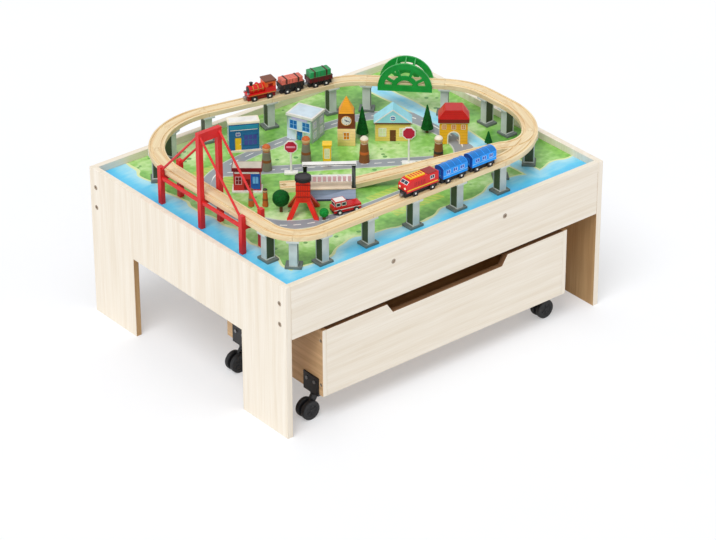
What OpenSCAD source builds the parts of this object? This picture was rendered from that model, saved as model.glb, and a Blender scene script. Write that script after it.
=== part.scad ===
// Wooden train table: a panel-legged play table with a rolling drawer below
// and a raised wooden railway, two trains and a small town on its play board.
// Millimetres, +Z up, X along the table, origin on the floor under its middle.

/* [Table] */
// Length over the two end panels
table_len = 990; // [950:5:1060]
// Width from the front apron to the back apron
table_wid = 780; // [755:5:840]
// Height of the rim above the floor
table_h = 407; // [390:1:440]
// Thickness of the end panels and the aprons
panel_t = 16; // [14:0.5:19]
// Width of each leg left standing in an end panel
leg_w = 172; // [140:1:200]
// Height of the opening between the legs of an end panel
leg_gap_h = 220; // [190:1:240]
// Height of the front and back aprons
apron_h = 143; // [130:1:150]
// Depth of the play board below the rim
rim_h = 18; // [14:1:24]
// Thickness of the play board
play_t = 10; // [8:0.5:14]
// Gap around the play board inside the frame
play_gap = 0.5; // [0.3:0.1:0.9]
// Side of the square battens in the four corners
batten_w = 30; // [26:1:36]
// Width of a cross rail under the play board
rail_w = 40; // [30:1:60]
// Height of a cross rail
rail_h = 30; // [24:1:40]
// Distance of each cross rail from the middle
rail_x = 174; // [140:1:220]

/* [Frame screws] */
// Diameter of a screw head
head_d = 13; // [10:0.5:16]
// Thickness of a screw head
head_t = 3; // [2:0.25:4]
// Depth of the head's face below the wood
head_inset = 0.2; // [0.1:0.1:0.5]
// Diameter of a screw shank
shank_d = 6; // [4:0.5:7]
// Length of a screw from its head's face to its tip
screw_len = 34; // [30:1:38]
// Clearance of a screw in its hole
screw_play = 0.1; // [0.05:0.05:0.2]
// Drop from the rim to the upper screw of a corner
screw_drop = 50; // [36:1:56]
// Distance of a corner's screws from the edge of the end panel
screw_in = 24; // [23:1:30]
// Distance between the two screws of a corner
screw_step = 55; // [40:1:60]

/* [Drawer] */
// Depth of the drawer from front to back
drawer_d = 374; // [320:1:460]
// Gap between the drawer and the apron above it
drawer_gap = 13; // [8:1:20]
// Room beside the drawer for its casters
drawer_room = 94; // [80:1:120]
// Distance of the drawer's face behind the table's front
drawer_inset = 4; // [1:0.5:10]
// Thickness of the drawer's front
front_t = 16; // [12:0.5:20]
// Thickness of the drawer's sides and back
side_t = 12; // [10:0.5:16]
// Thickness of the drawer's bottom
bottom_t = 6; // [4:0.5:10]
// Height of the drawer's bottom above the lower edge of its sides
bottom_rise = 8; // [4:1:14]
// Length of the finger notch along its floor
notch_len = 344; // [280:2:400]
// Depth of the finger notch
notch_d = 27; // [18:1:36]
// How far each end of the notch slants outwards
notch_slant = 18; // [8:1:30]
// Diameter of a drawer screw's head
small_head_d = 9; // [7:0.5:11]
// Thickness of a drawer screw's head
small_head_t = 2; // [1:0.25:3]
// Diameter of a drawer screw's shank
small_shank_d = 4; // [3:0.5:5]
// Length of a drawer screw
small_screw_len = 30; // [24:1:40]
// Distance of a drawer screw from the upper or lower edge
small_screw_edge = 30; // [20:1:50]

/* [Casters] */
// Diameter of a caster wheel
wheel_d = 50; // [44:1:54]
// Width of one of the twin wheels
wheel_t = 12; // [8:0.5:16]
// Height between the wheel and the drawer
fork_room = 20; // [18:1:28]
// Trail of the wheel behind its swivel
trail = 26; // [20:1:32]
// Thickness of the web between the twin wheels
web_t = 8; // [6:0.5:10]
// Diameter of the wheel axle
caster_axle_d = 8; // [6:0.5:10]
// Diameter of the swivel stem
stem_d = 10; // [8:0.5:12]
// Radial clearance of the stem and the axle
turn_play = 0.05; // [0.03:0.01:0.08]
// Thickness of the angle bracket
bracket_t = 4; // [3:0.5:6]
// Width of the angle bracket
bracket_w = 56; // [44:1:70]
// Height of the angle bracket on the drawer's side
bracket_h = 49; // [36:1:60]
// Reach of the angle bracket under the drawer
bracket_reach = 36; // [28:1:44]
// Distance of the swivel inside the drawer's side
swivel_in = 12; // [10:1:18]
// Distance of the front swivels behind the drawer's face
swivel_front = 43; // [36:1:60]
// Distance of the rear swivels from the drawer's back
swivel_back = 54; // [36:1:70]

/* [Track] */
// Width of the wooden track
track_w = 40; // [38:0.5:44]
// Thickness of the track
track_t = 12; // [11:0.5:14]
// Width of a wheel groove
groove_w = 6; // [5:0.25:7]
// Depth of a wheel groove
groove_d = 3; // [2:0.25:4]
// Distance of each groove from the middle of the track
groove_mid = 13; // [12:0.25:14]
// Height of a riser, board to track
riser_h = 76; // [60:1:90]
// Gap between two track pieces
joint_gap = 0.4; // [0.3:0.1:0.8]
// Diameter of a track peg's head
peg_d = 11; // [9:0.5:12]
// Width of a track peg's neck
peg_neck = 5; // [4:0.5:7]
// Distance from the end of the wood to the peg's middle
peg_reach = 11; // [9:0.5:13]
// Clearance of a peg in its socket
peg_play = 0.5; // [0.3:0.1:0.8]
// Radius of the large curves
large_r = 215; // [190:1:225]
// Radius of the bends on both sides of the arch bridge
bend_r = 160; // [130:1:170]
// Radius of the back left curve
back_r = 207; // [190:1:215]
// Radius of the small curves
small_r = 90; // [80:1:100]
// Radius of the curve that leads to the branch
branch_r = 83; // [76:1:92]
// Distance of the left run from the left panel
left_room = 57; // [52:1:70]
// Distance of the front run from the front apron
front_room = 53; // [44:1:64]
// Distance of the right run from the right panel
right_room = 47; // [36:1:56]
// Distance of the back left curve from the back apron
back_room = 28; // [20:1:36]
// Direction of the run that carries the arch bridge
arch_turn = 134.2; // [131:0.2:138]
// Direction of the back run
back_turn = 168; // [166:0.2:170]
// Distance between the two bends at the ends of the arch run
arch_leg = 312; // [300:1:322]
// Length of the branch's flat track beside the station
flat_len = 180; // [150:1:200]

/* [Bridges] */
// Width of a red bridge post across the track
post_w = 12; // [9:0.5:15]
// Depth of a red bridge post along the track
post_d = 13; // [10:0.5:16]
// Gap between the track and a post
post_gap = 2; // [1:0.25:4]
// Height of the red bridge's middle tower
tower_h = 252; // [220:1:280]
// Height of the red bridge's end frames
end_frame_h = 100; // [96:1:115]
// Distance from the middle tower to an end frame
bridge_half = 160; // [140:1:165]
// Height of a beam of the red bridge
beam_h = 12; // [8:1:16]
// Height of the girders beside the red bridge's deck
girder_h = 8; // [6:1:10]
// Thickness of those girders
girder_t = 6; // [4:0.5:8]
// Diameter of the red bridge's stays
stay_d = 6; // [4:0.5:8]
// Outer radius of the green arch
arch_r = 69; // [66:1:74]
// Width of the arch's rim
arch_rim = 16; // [12:1:18]
// Thickness of an arch side
arch_t = 5; // [4:0.5:7]
// Height of the arch's lower beam
arch_beam = 16; // [14:1:20]
// How far the arch hangs below the track
arch_drop = 8; // [4:1:10]

/* [Trains] */
// Width of a wagon's body
car_w = 32; // [28:1:36]
// Length of the front engine
front_engine_len = 98; // [90:1:104]
// Length of the back engine
back_engine_len = 76; // [70:1:84]
// Length of a coach
coach_len = 76; // [66:1:80]
// Length of a goods wagon
wagon_len = 64; // [60:1:68]
// Gap between two wagons
car_gap = 15; // [9:0.5:16]
// Diameter of a train wheel
rail_wheel_d = 17; // [15:0.5:18]
// Width of a train wheel
rail_wheel_t = 4; // [3:0.25:4.5]
// Diameter of a train axle
rail_axle_d = 4; // [3:0.25:5]
// Radial clearance of a train axle
axle_play = 0.05; // [0.03:0.01:0.08]
// Distance of an axle from the end of its wagon
axle_in = 17; // [14:1:20]
// How much further in the front engine's leading axle sits
axle_lead = 12; // [6:1:16]
// Clearance under and beside the train wheels
run_gap = 0.3; // [0.2:0.05:0.5]
// Distance of the front engine from the right end of the front run
front_engine_in = 258; // [249:1:279]
// Distance of the back engine along the back run
back_engine_s = 198; // [190:1:230]
// Height of the load on the second wagon
second_load_h = 24; // [18:1:28]
// Height of the load on the third wagon
third_load_h = 27; // [18:1:30]

/* [Town] */
// Width of the house with the gable
house_w = 88; // [76:1:96]
// Depth of the town's buildings
town_d = 36; // [30:1:42]
// Height of the house's walls
house_wall = 49; // [40:1:56]
// Width of the archway building
arch_house_w = 70; // [60:1:78]
// Width of the clock tower
clock_w = 44; // [36:1:48]
// Width of the gate building
gate_w = 72; // [60:1:76]
// Depth of the gate building
gate_depth = 62; // [50:1:64]
// Height of the gate building
gate_h = 64; // [58:1:80]
// Width of the shop
shop_w = 76; // [66:1:84]
// Height of the shop
shop_h = 78; // [66:1:90]
// Width of the kiosk
kiosk_w = 66; // [58:1:72]
// Height of the kiosk
kiosk_h = 58; // [48:1:66]
// Length of the station platform
platform_len = 126; // [110:1:136]
// Height of the station platform
platform_h = 34; // [24:1:40]
// Height of the station's posts above the board
station_h = 97; // [84:1:104]
// Height of the water tower
water_tower_h = 98; // [88:1:110]
// Width of the water tower over its feet
water_tower_w = 76; // [68:1:80]
// Height of the tall road sign
sign_h = 103; // [90:1:120]
// Width across a road sign's plate
sign_w = 36; // [30:1:40]
// Height of a tall peg figure
figure_h = 70; // [60:1:84]
// Length of the toy car
car_len = 72; // [62:1:80]

/* [Hidden] */
$fn = 64;
eps = 0.5;
half_l = table_len / 2;
half_w = table_wid / 2;
inner_x = half_l - panel_t;
inner_y = half_w - panel_t;
board_top = table_h - rim_h;
board_under = board_top - play_t;
apron_z = table_h - apron_h;
batten_mid = inner_y - batten_w / 2;
screw_y = half_w - screw_in;
rail_z = board_under - rail_h / 2;
screw_heights = [table_h - screw_drop, table_h - screw_drop - screw_step];

drawer_w = 2 * (inner_x - drawer_room);
drawer_z = wheel_d + fork_room;
drawer_top = apron_z - drawer_gap;
drawer_h = drawer_top - drawer_z;
drawer_front_y = drawer_inset - half_w;
drawer_back_y = drawer_front_y + drawer_d;
inside_w = drawer_w - 2 * side_t;
small_screw_heights = [drawer_z + small_screw_edge, drawer_top - small_screw_edge];

wheel_r = wheel_d / 2;
side_gap = 0.6;
stem_gap = 0.3;
plate_z = drawer_z - bracket_t;
fork_top = plate_z - stem_gap;
fork_cap = 6;
fork_cap_d = 28;
boss_r = caster_axle_d / 2 + 5;
swivel_x = drawer_w / 2 - swivel_in;
swivels = [
    [-swivel_x, drawer_front_y + swivel_front],
    [swivel_x, drawer_front_y + swivel_front],
    [-swivel_x, drawer_back_y - swivel_back],
    [swivel_x, drawer_back_y - swivel_back]
];

// The loop is a five-sided outline with rounded corners. Run number i goes
// from corner i to the next one, counter-clockwise from the front left.
deck_z = board_top + riser_h;
back_share = 0.435;
run_turn = [0, 90, arch_turn, back_turn, 270];
back_curve_r = min(back_r, inner_x * back_share);
corner_r = [small_r, large_r, bend_r, bend_r, back_curve_r];
corner_pieces = [2, 2, 1, 1, 3];
run_pieces = [4, 1, 1, 2, 3];
left_x = left_room - inner_x;
right_x = inner_x - right_room;
front_y = front_room - inner_y;
function unit(a) = [cos(a), sin(a)];
function degrees(len, r) = len / r * 180 / PI;
function before(i) = (i + 4) % 5;
function after(i) = (i + 1) % 5;
function bend(i) = (run_turn[i] - run_turn[before(i)] + 360) % 360;
function tangent(i) = corner_r[i] * tan(bend(i) / 2);
back_left = [left_x, inner_y - back_room - back_curve_r + tangent(4)];
arch_right_x = right_x + arch_leg * cos(arch_turn);
arch_far = [arch_right_x, back_left.y + (arch_right_x - left_x) * tan(back_turn)];
arch_near = arch_far - arch_leg * unit(arch_turn);
corners = [[left_x, front_y], [right_x, front_y], arch_near, arch_far, back_left];
function run_start(i) = corners[i] + tangent(i) * unit(run_turn[i]);
function run_len(i) = norm(corners[after(i)] - corners[i]) - tangent(i) - tangent(after(i));
function run_at(i, s) = run_start(i) + s * unit(run_turn[i]);
function curve_start(i) = corners[i] - tangent(i) * unit(run_turn[before(i)]);
function curve_mid(i) = curve_start(i) + corner_r[i] * unit(run_turn[before(i)] + 90);
function curve_turn(i, k) = run_turn[before(i)] + k * bend(i) / corner_pieces[i];
function curve_at(i, k) = curve_mid(i) + corner_r[i] * unit(curve_turn(i, k) - 90);

// Places in the town are laid out on a board of this half length and half
// width, and stretch with the table.
plan_x = 479;
plan_y = 374;
function spot(p) = [p.x * inner_x / plan_x, p.y * inner_y / plan_y];

// The branch joins the loop at the end of the first curve piece of corner 1.
// Its ramp runs straight from its foot in the town to meet the joining curve.
join_turn = curve_turn(1, 1);
join_at = curve_at(1, 1);
branch_mid = join_at + branch_r * unit(join_turn + 90);
ramp_low = spot([-36.8, -72.9]);
branch_way = branch_mid - ramp_low;
ramp_turn = atan2(branch_way.y, branch_way.x) - asin(branch_r / norm(branch_way));
ramp_len = sqrt(branch_way * branch_way - branch_r * branch_r);
ramp_top = ramp_low + ramp_len * unit(ramp_turn);
branch_turn = join_turn - ramp_turn;
flat_start = ramp_low - flat_len * unit(ramp_turn);
ramp_parts = 2;
ramp_slope = riser_h / ramp_len;

riser_foot = [40, 34, 6];
riser_post = [20, 26];
riser_cap = [30, 42, 5];
bridge_side = track_w / 2 + post_gap + post_w / 2;
bridge_shift = 36;
bridge_s = run_len(4) / 2 - bridge_shift;
bridge_end_room = 25;
bridge_reach = min(bridge_half, run_len(4) / 2 - bridge_end_room);
arch_gap = 0.2;
arch_side = (track_w + arch_t) / 2 + arch_gap;

axle_z = rail_wheel_d / 2 - groove_d + run_gap;
car_floor = axle_z + rail_wheel_d / 2 + 1;
chassis_w = 2 * groove_mid - rail_wheel_t - 2;
chassis_z = axle_z - rail_axle_d / 2 - 2;
magnet_d = 9;
magnet_gap = 0.3;
// Each train is a list of wagon lengths, engine first.
front_train = [front_engine_len, coach_len, coach_len];
back_train = [back_engine_len, wagon_len, wagon_len];
function train_back(lens, i) = i == 0 ? 0 : train_back(lens, i - 1) + (lens[i - 1] + lens[i]) / 2 + car_gap;
train_cars = ["engine", "second", "third"];
train_ends = ["front", "rear"];

town_turn = -40;
roof_over = 4;
house_at = [186, 46];
arch_house_at = [292, -63];
clock_at = [80, 99];
gate_at = [8, 196];
gate_turn = -68;
shop_at = [-136, 234];
shop_turn = -29;
kiosk_at = [-260, 61];
water_tower_at = [-217, -104];
car_at = [-138, -178];
car_turn = -14;
platform_gap = 16;
platform_s = 66;
platform_d = 38;
platform_turn = ramp_turn - 4;
cones = [[143, 114, 16, 86], [284, 29, 16, 78], [352, -126, 10, 42]];
round_trees = [[-255, -66, 22, 58], [-200, -162, 12, 30]];
signs = [[138, -73, sign_h], [-117, 71, sign_h - 11]];
call_box_at = [-25, 45];
tall_figures = [[-49, 98], [62, 7], [205, -107], [-150, 126]];
small_figures = [[-267, -20], [-293, 2]];

// Screw whose face lies just under the wood at z = 0 and whose tip points to +Z
module screw(hd, ht, sd, len) {
    translate([0, 0, head_inset]) cylinder(d = hd, h = ht);
    translate([0, 0, head_inset]) cylinder(d = sd, h = len - head_inset);
}

// Stepped hole for that screw
module screw_hole(hd, ht, sd, len) {
    translate([0, 0, -1]) cylinder(d = hd + 2 * screw_play, h = ht + head_inset + 1);
    cylinder(d = sd + 2 * screw_play, h = len + screw_play);
}

module frame_screw() screw(head_d, head_t, shank_d, screw_len);
module frame_screw_hole() screw_hole(head_d, head_t, shank_d, screw_len);
module drawer_screw() screw(small_head_d, small_head_t, small_shank_d, small_screw_len);
module drawer_screw_hole() screw_hole(small_head_d, small_head_t, small_shank_d, small_screw_len);

module at_panel_screws(side)
    for (s = [-1, 1], z = screw_heights)
        translate([side * half_l, s * screw_y, z]) rotate([0, -90 * side, 0]) children();

module at_rail_screws(side)
    for (s = [-1, 1])
        translate([s * rail_x, side * half_w, rail_z]) rotate([90 * side, 0, 0]) children();

module at_drawer_screws(side)
    for (z = small_screw_heights)
        translate([side * drawer_w / 2, drawer_front_y + front_t / 2, z])
            rotate([0, -90 * side, 0]) children();

// End panel with its two legs; side is -1 on the left and 1 on the right
module end_panel(side) {
    color("wheat") difference() {
        translate([side * (half_l - panel_t / 2) - panel_t / 2, -half_w, 0])
            cube([panel_t, table_wid, table_h]);
        translate([side * (half_l - panel_t / 2) - panel_t, leg_w - half_w, -eps])
            cube([2 * panel_t, table_wid - 2 * leg_w, leg_gap_h + eps]);
        at_panel_screws(side) frame_screw_hole();
    }
}

// Apron between the end panels; side is -1 at the front and 1 at the back
module apron(side) {
    color("wheat") difference() {
        translate([-inner_x, side * (half_w - panel_t / 2) - panel_t / 2, apron_z])
            cube([2 * inner_x, panel_t, apron_h]);
        at_rail_screws(side) frame_screw_hole();
    }
}

module play_board() {
    color("yellowgreen") translate([play_gap - inner_x, play_gap - inner_y, board_under])
        cube([2 * (inner_x - play_gap), 2 * (inner_y - play_gap), play_t]);
}

module cross_rails() {
    color("wheat") difference() {
        for (s = [-1, 1])
            translate([s * rail_x - rail_w / 2, -inner_y, board_under - rail_h])
                cube([rail_w, 2 * inner_y, rail_h]);
        for (side = [-1, 1]) at_rail_screws(side) frame_screw_hole();
    }
}

module corner_battens() {
    color("wheat") difference() {
        for (sx = [-1, 1], sy = [-1, 1])
            translate([sx * (inner_x - batten_w / 2), sy * batten_mid, apron_z])
                translate([-batten_w / 2, -batten_w / 2, 0])
                    cube([batten_w, batten_w, board_under - apron_z]);
        for (side = [-1, 1]) at_panel_screws(side) frame_screw_hole();
    }
}

module frame_screws() {
    color("dimgray") for (side = [-1, 1]) {
        at_panel_screws(side) frame_screw();
        at_rail_screws(side) frame_screw();
    }
}

// Front board with the slanted finger notch in its upper edge
module drawer_front() {
    top = notch_len / 2 + notch_slant;
    color("wheat") difference() {
        translate([-inside_w / 2, drawer_front_y, drawer_z]) cube([inside_w, front_t, drawer_h]);
        translate([0, drawer_front_y + front_t + eps, drawer_top]) rotate([90, 0, 0])
            linear_extrude(front_t + 2 * eps)
                polygon([[-notch_len / 2, -notch_d], [notch_len / 2, -notch_d], [top, 0], [top, eps],
                    [-top, eps], [-top, 0]]);
        for (side = [-1, 1]) at_drawer_screws(side) drawer_screw_hole();
    }
}

module drawer_back() {
    color("tan") translate([-inside_w / 2, drawer_back_y - side_t, drawer_z])
        cube([inside_w, side_t, drawer_h]);
}

module drawer_side(side) {
    color("tan") difference() {
        translate([side * (drawer_w - side_t) / 2 - side_t / 2, drawer_front_y, drawer_z])
            cube([side_t, drawer_d, drawer_h]);
        at_drawer_screws(side) drawer_screw_hole();
    }
}

module drawer_bottom() {
    color("tan") translate([-inside_w / 2, drawer_front_y + front_t, drawer_z + bottom_rise])
        cube([inside_w, drawer_d - front_t - side_t, bottom_t]);
}

module drawer_screws() {
    color("dimgray") for (side = [-1, 1]) at_drawer_screws(side) drawer_screw();
}

// Four angle brackets that wrap the lower edges of the drawer's sides
module caster_brackets() {
    rivet_d = 9;
    rivet_t = 2;
    rivet_z = plate_z + bracket_h * 0.7;
    color("black") difference() {
        for (p = swivels) translate([p.x, p.y, 0]) {
            side = sign(p.x);
            translate([side > 0 ? swivel_in : -swivel_in - bracket_t, -bracket_w / 2, plate_z])
                cube([bracket_t, bracket_w, bracket_h]);
            translate([side > 0 ? swivel_in - bracket_reach : -swivel_in, -bracket_w / 2, plate_z])
                cube([bracket_reach, bracket_w, bracket_t]);
            for (s = [-1, 1])
                translate([side * (swivel_in + bracket_t - eps), s * bracket_w / 4, rivet_z])
                    rotate([0, 90 * side, 0]) cylinder(d = rivet_d, h = rivet_t + eps);
        }
        for (p = swivels)
            translate([p.x, p.y, plate_z - eps])
                cylinder(d = stem_d + 2 * turn_play, h = bracket_t + 2 * eps);
    }
}

// Swivel fork: a stem, a round cap and a web that trails back to the axle
module caster_fork(i) {
    web_low = fork_top - fork_cap;
    knee = [trail + boss_r * 0.9, wheel_r + boss_r * 0.4];
    heel = [trail - boss_r * 0.6, wheel_r - boss_r * 0.8];
    color("black") translate([swivels[i].x, swivels[i].y, 0]) rotate([0, 0, 180]) {
        translate([0, 0, web_low]) cylinder(d = stem_d, h = drawer_z - stem_gap - web_low);
        translate([0, 0, web_low]) cylinder(d = fork_cap_d, h = fork_cap);
        difference() {
            translate([0, web_t / 2, 0]) rotate([90, 0, 0]) linear_extrude(web_t) {
                polygon([[-fork_cap_d / 3, web_low + eps], [fork_cap_d / 2, web_low + eps], knee, heel]);
                translate([trail, wheel_r]) circle(boss_r);
            }
            translate([trail, web_t, wheel_r]) rotate([90, 0, 0])
                cylinder(d = caster_axle_d + 2 * turn_play, h = 2 * web_t);
        }
    }
}

// Twin wheels on their axle
module caster_wheel(i) {
    half = web_t / 2 + side_gap + wheel_t;
    hub_d = wheel_d * 0.56;
    dish = 2;
    color([0.1, 0.1, 0.1]) translate([swivels[i].x - trail, swivels[i].y, wheel_r]) rotate([90, 0, 0]) {
        translate([0, 0, -half + dish]) cylinder(d = caster_axle_d, h = 2 * (half - dish));
        for (s = [0, 1]) mirror([0, 0, s]) difference() {
            translate([0, 0, web_t / 2 + side_gap]) cylinder(d = wheel_d, h = wheel_t);
            translate([0, 0, half - dish]) cylinder(d = hub_d, h = dish + eps);
        }
    }
}

module pose(at, turn, z) translate([at.x, at.y, z]) rotate([0, 0, turn]) children();

// Plan of the round-headed peg on a track's end, play larger all round
module peg_plan(play) {
    translate([-1, -peg_neck / 2 - play]) square([peg_reach + 1, peg_neck + 2 * play]);
    translate([peg_reach, 0]) circle(d = peg_d + 2 * play);
}

// Peg; play and over make it a socket's cutter
module track_peg(play, over) translate([0, 0, -over]) linear_extrude(track_t + 2 * over) peg_plan(play);

module track_socket() translate([-joint_gap / 2, 0, 0]) track_peg(peg_play, eps);

// Straight piece along +X with a socket at its start and a peg at its end
module track_straight(len) {
    difference() {
        union() {
            translate([joint_gap / 2, -track_w / 2, 0]) cube([len - joint_gap, track_w, track_t]);
            translate([len - joint_gap / 2, 0, 0]) track_peg(0, 0);
        }
        for (s = [-1, 1])
            translate([-eps, s * groove_mid - groove_w / 2, track_t - groove_d])
                cube([len + 2 * eps, groove_w, groove_d + eps]);
        track_socket();
    }
}

// Flat ring sector, w wide and off from radius r, that starts at the origin towards +X
module flat_sector(r, off, w, from, to) {
    far = 2 * r;
    translate([0, r]) intersection() {
        difference() {
            circle(r + off + w / 2);
            circle(r + off - w / 2);
        }
        polygon([[0, 0], far * unit(from - 90), far * unit((from + to) / 2 - 90), far * unit(to - 90)]);
    }
}

// Curved piece that starts at the origin towards +X and turns left
module track_curve(r, turn) {
    trim = degrees(joint_gap / 2, r);
    over = degrees(eps, r);
    difference() {
        linear_extrude(track_t) {
            flat_sector(r, 0, track_w, trim, turn - trim);
            translate([0, r]) rotate(turn) translate([-joint_gap / 2, -r]) peg_plan(0);
        }
        translate([0, 0, track_t - groove_d]) linear_extrude(groove_d + eps)
            for (s = [-1, 1]) flat_sector(r, s * groove_mid, groove_w, -over, turn + over);
        track_socket();
    }
}

// Straight pieces of the loop, in equal lengths along each run
module loop_straights() {
    color("burlywood") for (i = [0:4]) {
        len = run_len(i) / run_pieces[i];
        for (k = [0:run_pieces[i] - 1])
            pose(run_at(i, k * len), run_turn[i], deck_z) track_straight(len);
    }
}

// Curved pieces of the loop, all but the one that is part of the points
module loop_curves() {
    color("burlywood") for (i = [0:4])
        for (k = [0:corner_pieces[i] - 1])
            if (i != 1 || k != 0)
                pose(curve_at(i, k), curve_turn(i, k), deck_z)
                    track_curve(corner_r[i], bend(i) / corner_pieces[i]);
}

// Plan of the points, or of one of its grooves at off: two curves that run
// together into a short straight end, w wide and over longer at the starts
module points_plan(off, w, over) {
    end_len = 14;
    end_lip = 0.5;
    stop = 5;
    loop_turn = bend(1) / corner_pieces[1];
    translate(curve_at(1, 0)) rotate(curve_turn(1, 0))
        flat_sector(large_r, off, w, -degrees(over, large_r), loop_turn - degrees(stop, large_r));
    translate(ramp_top) rotate(ramp_turn)
        flat_sector(branch_r, off, w, -degrees(over, branch_r), branch_turn - degrees(stop, branch_r));
    translate(join_at) rotate(join_turn) translate([-end_len, -off - w / 2 - end_lip])
        square([end_len + over, w + 2 * end_lip]);
}

// Points: the piece where the branch leaves the loop
module track_points() {
    difference() {
        translate([0, 0, deck_z]) linear_extrude(track_t) {
            points_plan(0, track_w, -joint_gap / 2);
            translate(join_at) rotate(join_turn) translate([-joint_gap / 2, 0]) peg_plan(0);
        }
        translate([0, 0, deck_z + track_t - groove_d]) linear_extrude(groove_d + eps)
            for (s = [-1, 1]) points_plan(s * groove_mid, groove_w, eps);
        pose(curve_at(1, 0), curve_turn(1, 0), deck_z) track_socket();
        pose(ramp_top, ramp_turn, deck_z) track_socket();
    }
}

// Side outline of one ramp piece, cut upright at both ends
module ramp_outline(len, low, high, cut)
    polygon([[-cut, low - cut * ramp_slope], [len + cut, high + cut * ramp_slope],
        [len + cut, high + track_t + cut * (ramp_slope + 1)],
        [-cut, low + track_t + cut * (1 - ramp_slope)]]);

// Inclined piece that climbs along +X from low to high
module track_ramp(len, low, high) {
    difference() {
        union() {
            intersection() {
                rotate([90, 0, 0]) linear_extrude(track_w, center = true) ramp_outline(len, low, high, 0);
                translate([joint_gap / 2, -track_w, -eps])
                    cube([len - joint_gap, 2 * track_w, high + track_t + 2 * eps]);
            }
            translate([len - joint_gap / 2, 0, high]) track_peg(0, 0);
        }
        for (s = [-1, 1])
            translate([0, s * groove_mid, track_t - groove_d]) rotate([90, 0, 0])
                linear_extrude(groove_w, center = true) ramp_outline(len, low, high, eps);
        translate([0, 0, low]) track_socket();
    }
}

// Branch: the points, the ramp and the flat piece beside the station
module branch_track() {
    len = ramp_len / ramp_parts;
    color("burlywood") {
        track_points();
        for (k = [0:ramp_parts - 1])
            pose(ramp_low + k * len * unit(ramp_turn), ramp_turn, board_top)
                track_ramp(len, k * len * ramp_slope, (k + 1) * len * ramp_slope);
        pose(flat_start, ramp_turn, board_top) track_straight(flat_len);
    }
}

// Pillar with a foot and a cap, h high in all
module riser(h) {
    translate([-riser_foot.x / 2, -riser_foot.y / 2, 0]) cube(riser_foot);
    translate([-riser_post.x / 2, -riser_post.y / 2, 0]) cube([riser_post.x, riser_post.y, h]);
    translate([-riser_cap.x / 2, -riser_cap.y / 2, h - riser_cap.z]) cube(riser_cap);
}

// Riser whose cap slopes with the ramp piece that ends on it
module ramp_riser(h) {
    reach = riser_cap.x;
    difference() {
        riser(h);
        rotate([90, 0, 0]) linear_extrude(2 * track_w, center = true)
            polygon([[-reach, h - reach * ramp_slope], [0, h], [-reach, h + reach]]);
    }
}

// One riser under each track joint that no bridge carries
module track_risers() {
    color("darkgray") {
        for (i = [0:3]) {
            len = run_len(i) / run_pieces[i];
            for (k = [0:run_pieces[i] - 1])
                pose(run_at(i, k * len), run_turn[i], board_top) riser(riser_h);
        }
        for (i = [0:4])
            for (k = [0:corner_pieces[i] - 1])
                pose(curve_at(i, k), curve_turn(i, k), board_top) riser(riser_h);
        for (k = [1:ramp_parts])
            pose(ramp_low + k / ramp_parts * (ramp_top - ramp_low), ramp_turn, board_top)
                ramp_riser(k / ramp_parts * riser_h);
    }
}

module on_bridge() pose(run_at(4, bridge_s), run_turn[4], board_top) children();

// Pair of posts with the beam that carries the track
module bridge_frame(h) {
    for (s = [-1, 1])
        translate([-post_d / 2, s * bridge_side - post_w / 2, 0]) cube([post_d, post_w, h]);
    translate([-post_d / 2, -bridge_side, riser_h - beam_h]) cube([post_d, 2 * bridge_side, beam_h]);
}

// Middle tower, two end frames and the side girders of the red bridge
module bridge_frames() {
    head_h = 2 * beam_h;
    color("red") on_bridge() {
        bridge_frame(tower_h);
        translate([-post_d / 2, -bridge_side, tower_h - head_h]) cube([post_d, 2 * bridge_side, head_h]);
        for (s = [-1, 1]) {
            translate([s * bridge_reach, 0, 0]) bridge_frame(end_frame_h);
            translate([-bridge_reach, s * bridge_side - girder_t / 2, riser_h - beam_h / 2 - girder_h / 2])
                cube([2 * bridge_reach, girder_t, girder_h]);
        }
    }
}

// Slanted stays from the tower's head to the end frames
module bridge_stays() {
    run = bridge_reach - post_d;
    high = tower_h - beam_h;
    low = end_frame_h - stay_d;
    tilt = atan2(high - low, run);
    color("red") on_bridge() for (s = [-1, 1], m = [0, 1])
        mirror([m, 0, 0]) intersection() {
            translate([post_d / 2, s * bridge_side, high]) rotate([0, 90 + tilt, 0])
                translate([0, 0, -stay_d]) cylinder(d = stay_d, h = norm([run, high - low]) + 2 * stay_d);
            translate([post_d / 2, s * bridge_side - stay_d, 0]) cube([run, 2 * stay_d, tower_h]);
        }
}

module half_ring(r, w)
    intersection() {
        difference() {
            circle(r);
            circle(r - w);
        }
        translate([-r, 0]) square([2 * r, r]);
    }

// One side of the arch: a rim, an inner ring, four spokes that leave five windows
// between them, and a lower beam
module arch_outline() {
    ring = arch_r * 0.5;
    ring_w = arch_r * 0.17;
    bar = arch_rim * 0.45;
    outer = arch_r - arch_rim / 2;
    half_ring(arch_r, arch_rim);
    half_ring(ring, ring_w);
    for (a = [30, 68, 112, 150])
        rotate(a) translate([ring - bar / 2, -bar / 2]) square([outer - ring + bar / 2, bar]);
    translate([-arch_r, -arch_beam / 2]) square([2 * arch_r, arch_beam]);
}

// Green arch bridge: two sides that clasp the track and three ties over it
module arch_bridge() {
    tie_d = 4;
    tie_r = arch_r - tie_d / 2 - eps;
    tie_step = 20;
    arch_z = riser_h + arch_beam / 2 - arch_drop;
    color("forestgreen") pose(run_at(2, run_len(2) / 2), run_turn[2], board_top) {
        for (s = [-1, 1])
            translate([0, s * arch_side + arch_t / 2, arch_z]) rotate([90, 0, 0])
                linear_extrude(arch_t) arch_outline();
        for (a = [90 - tie_step, 90, 90 + tie_step])
            translate([tie_r * cos(a), arch_side, arch_z + tie_r * sin(a)]) rotate([90, 0, 0])
                cylinder(d = tie_d, h = 2 * arch_side);
    }
}

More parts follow.
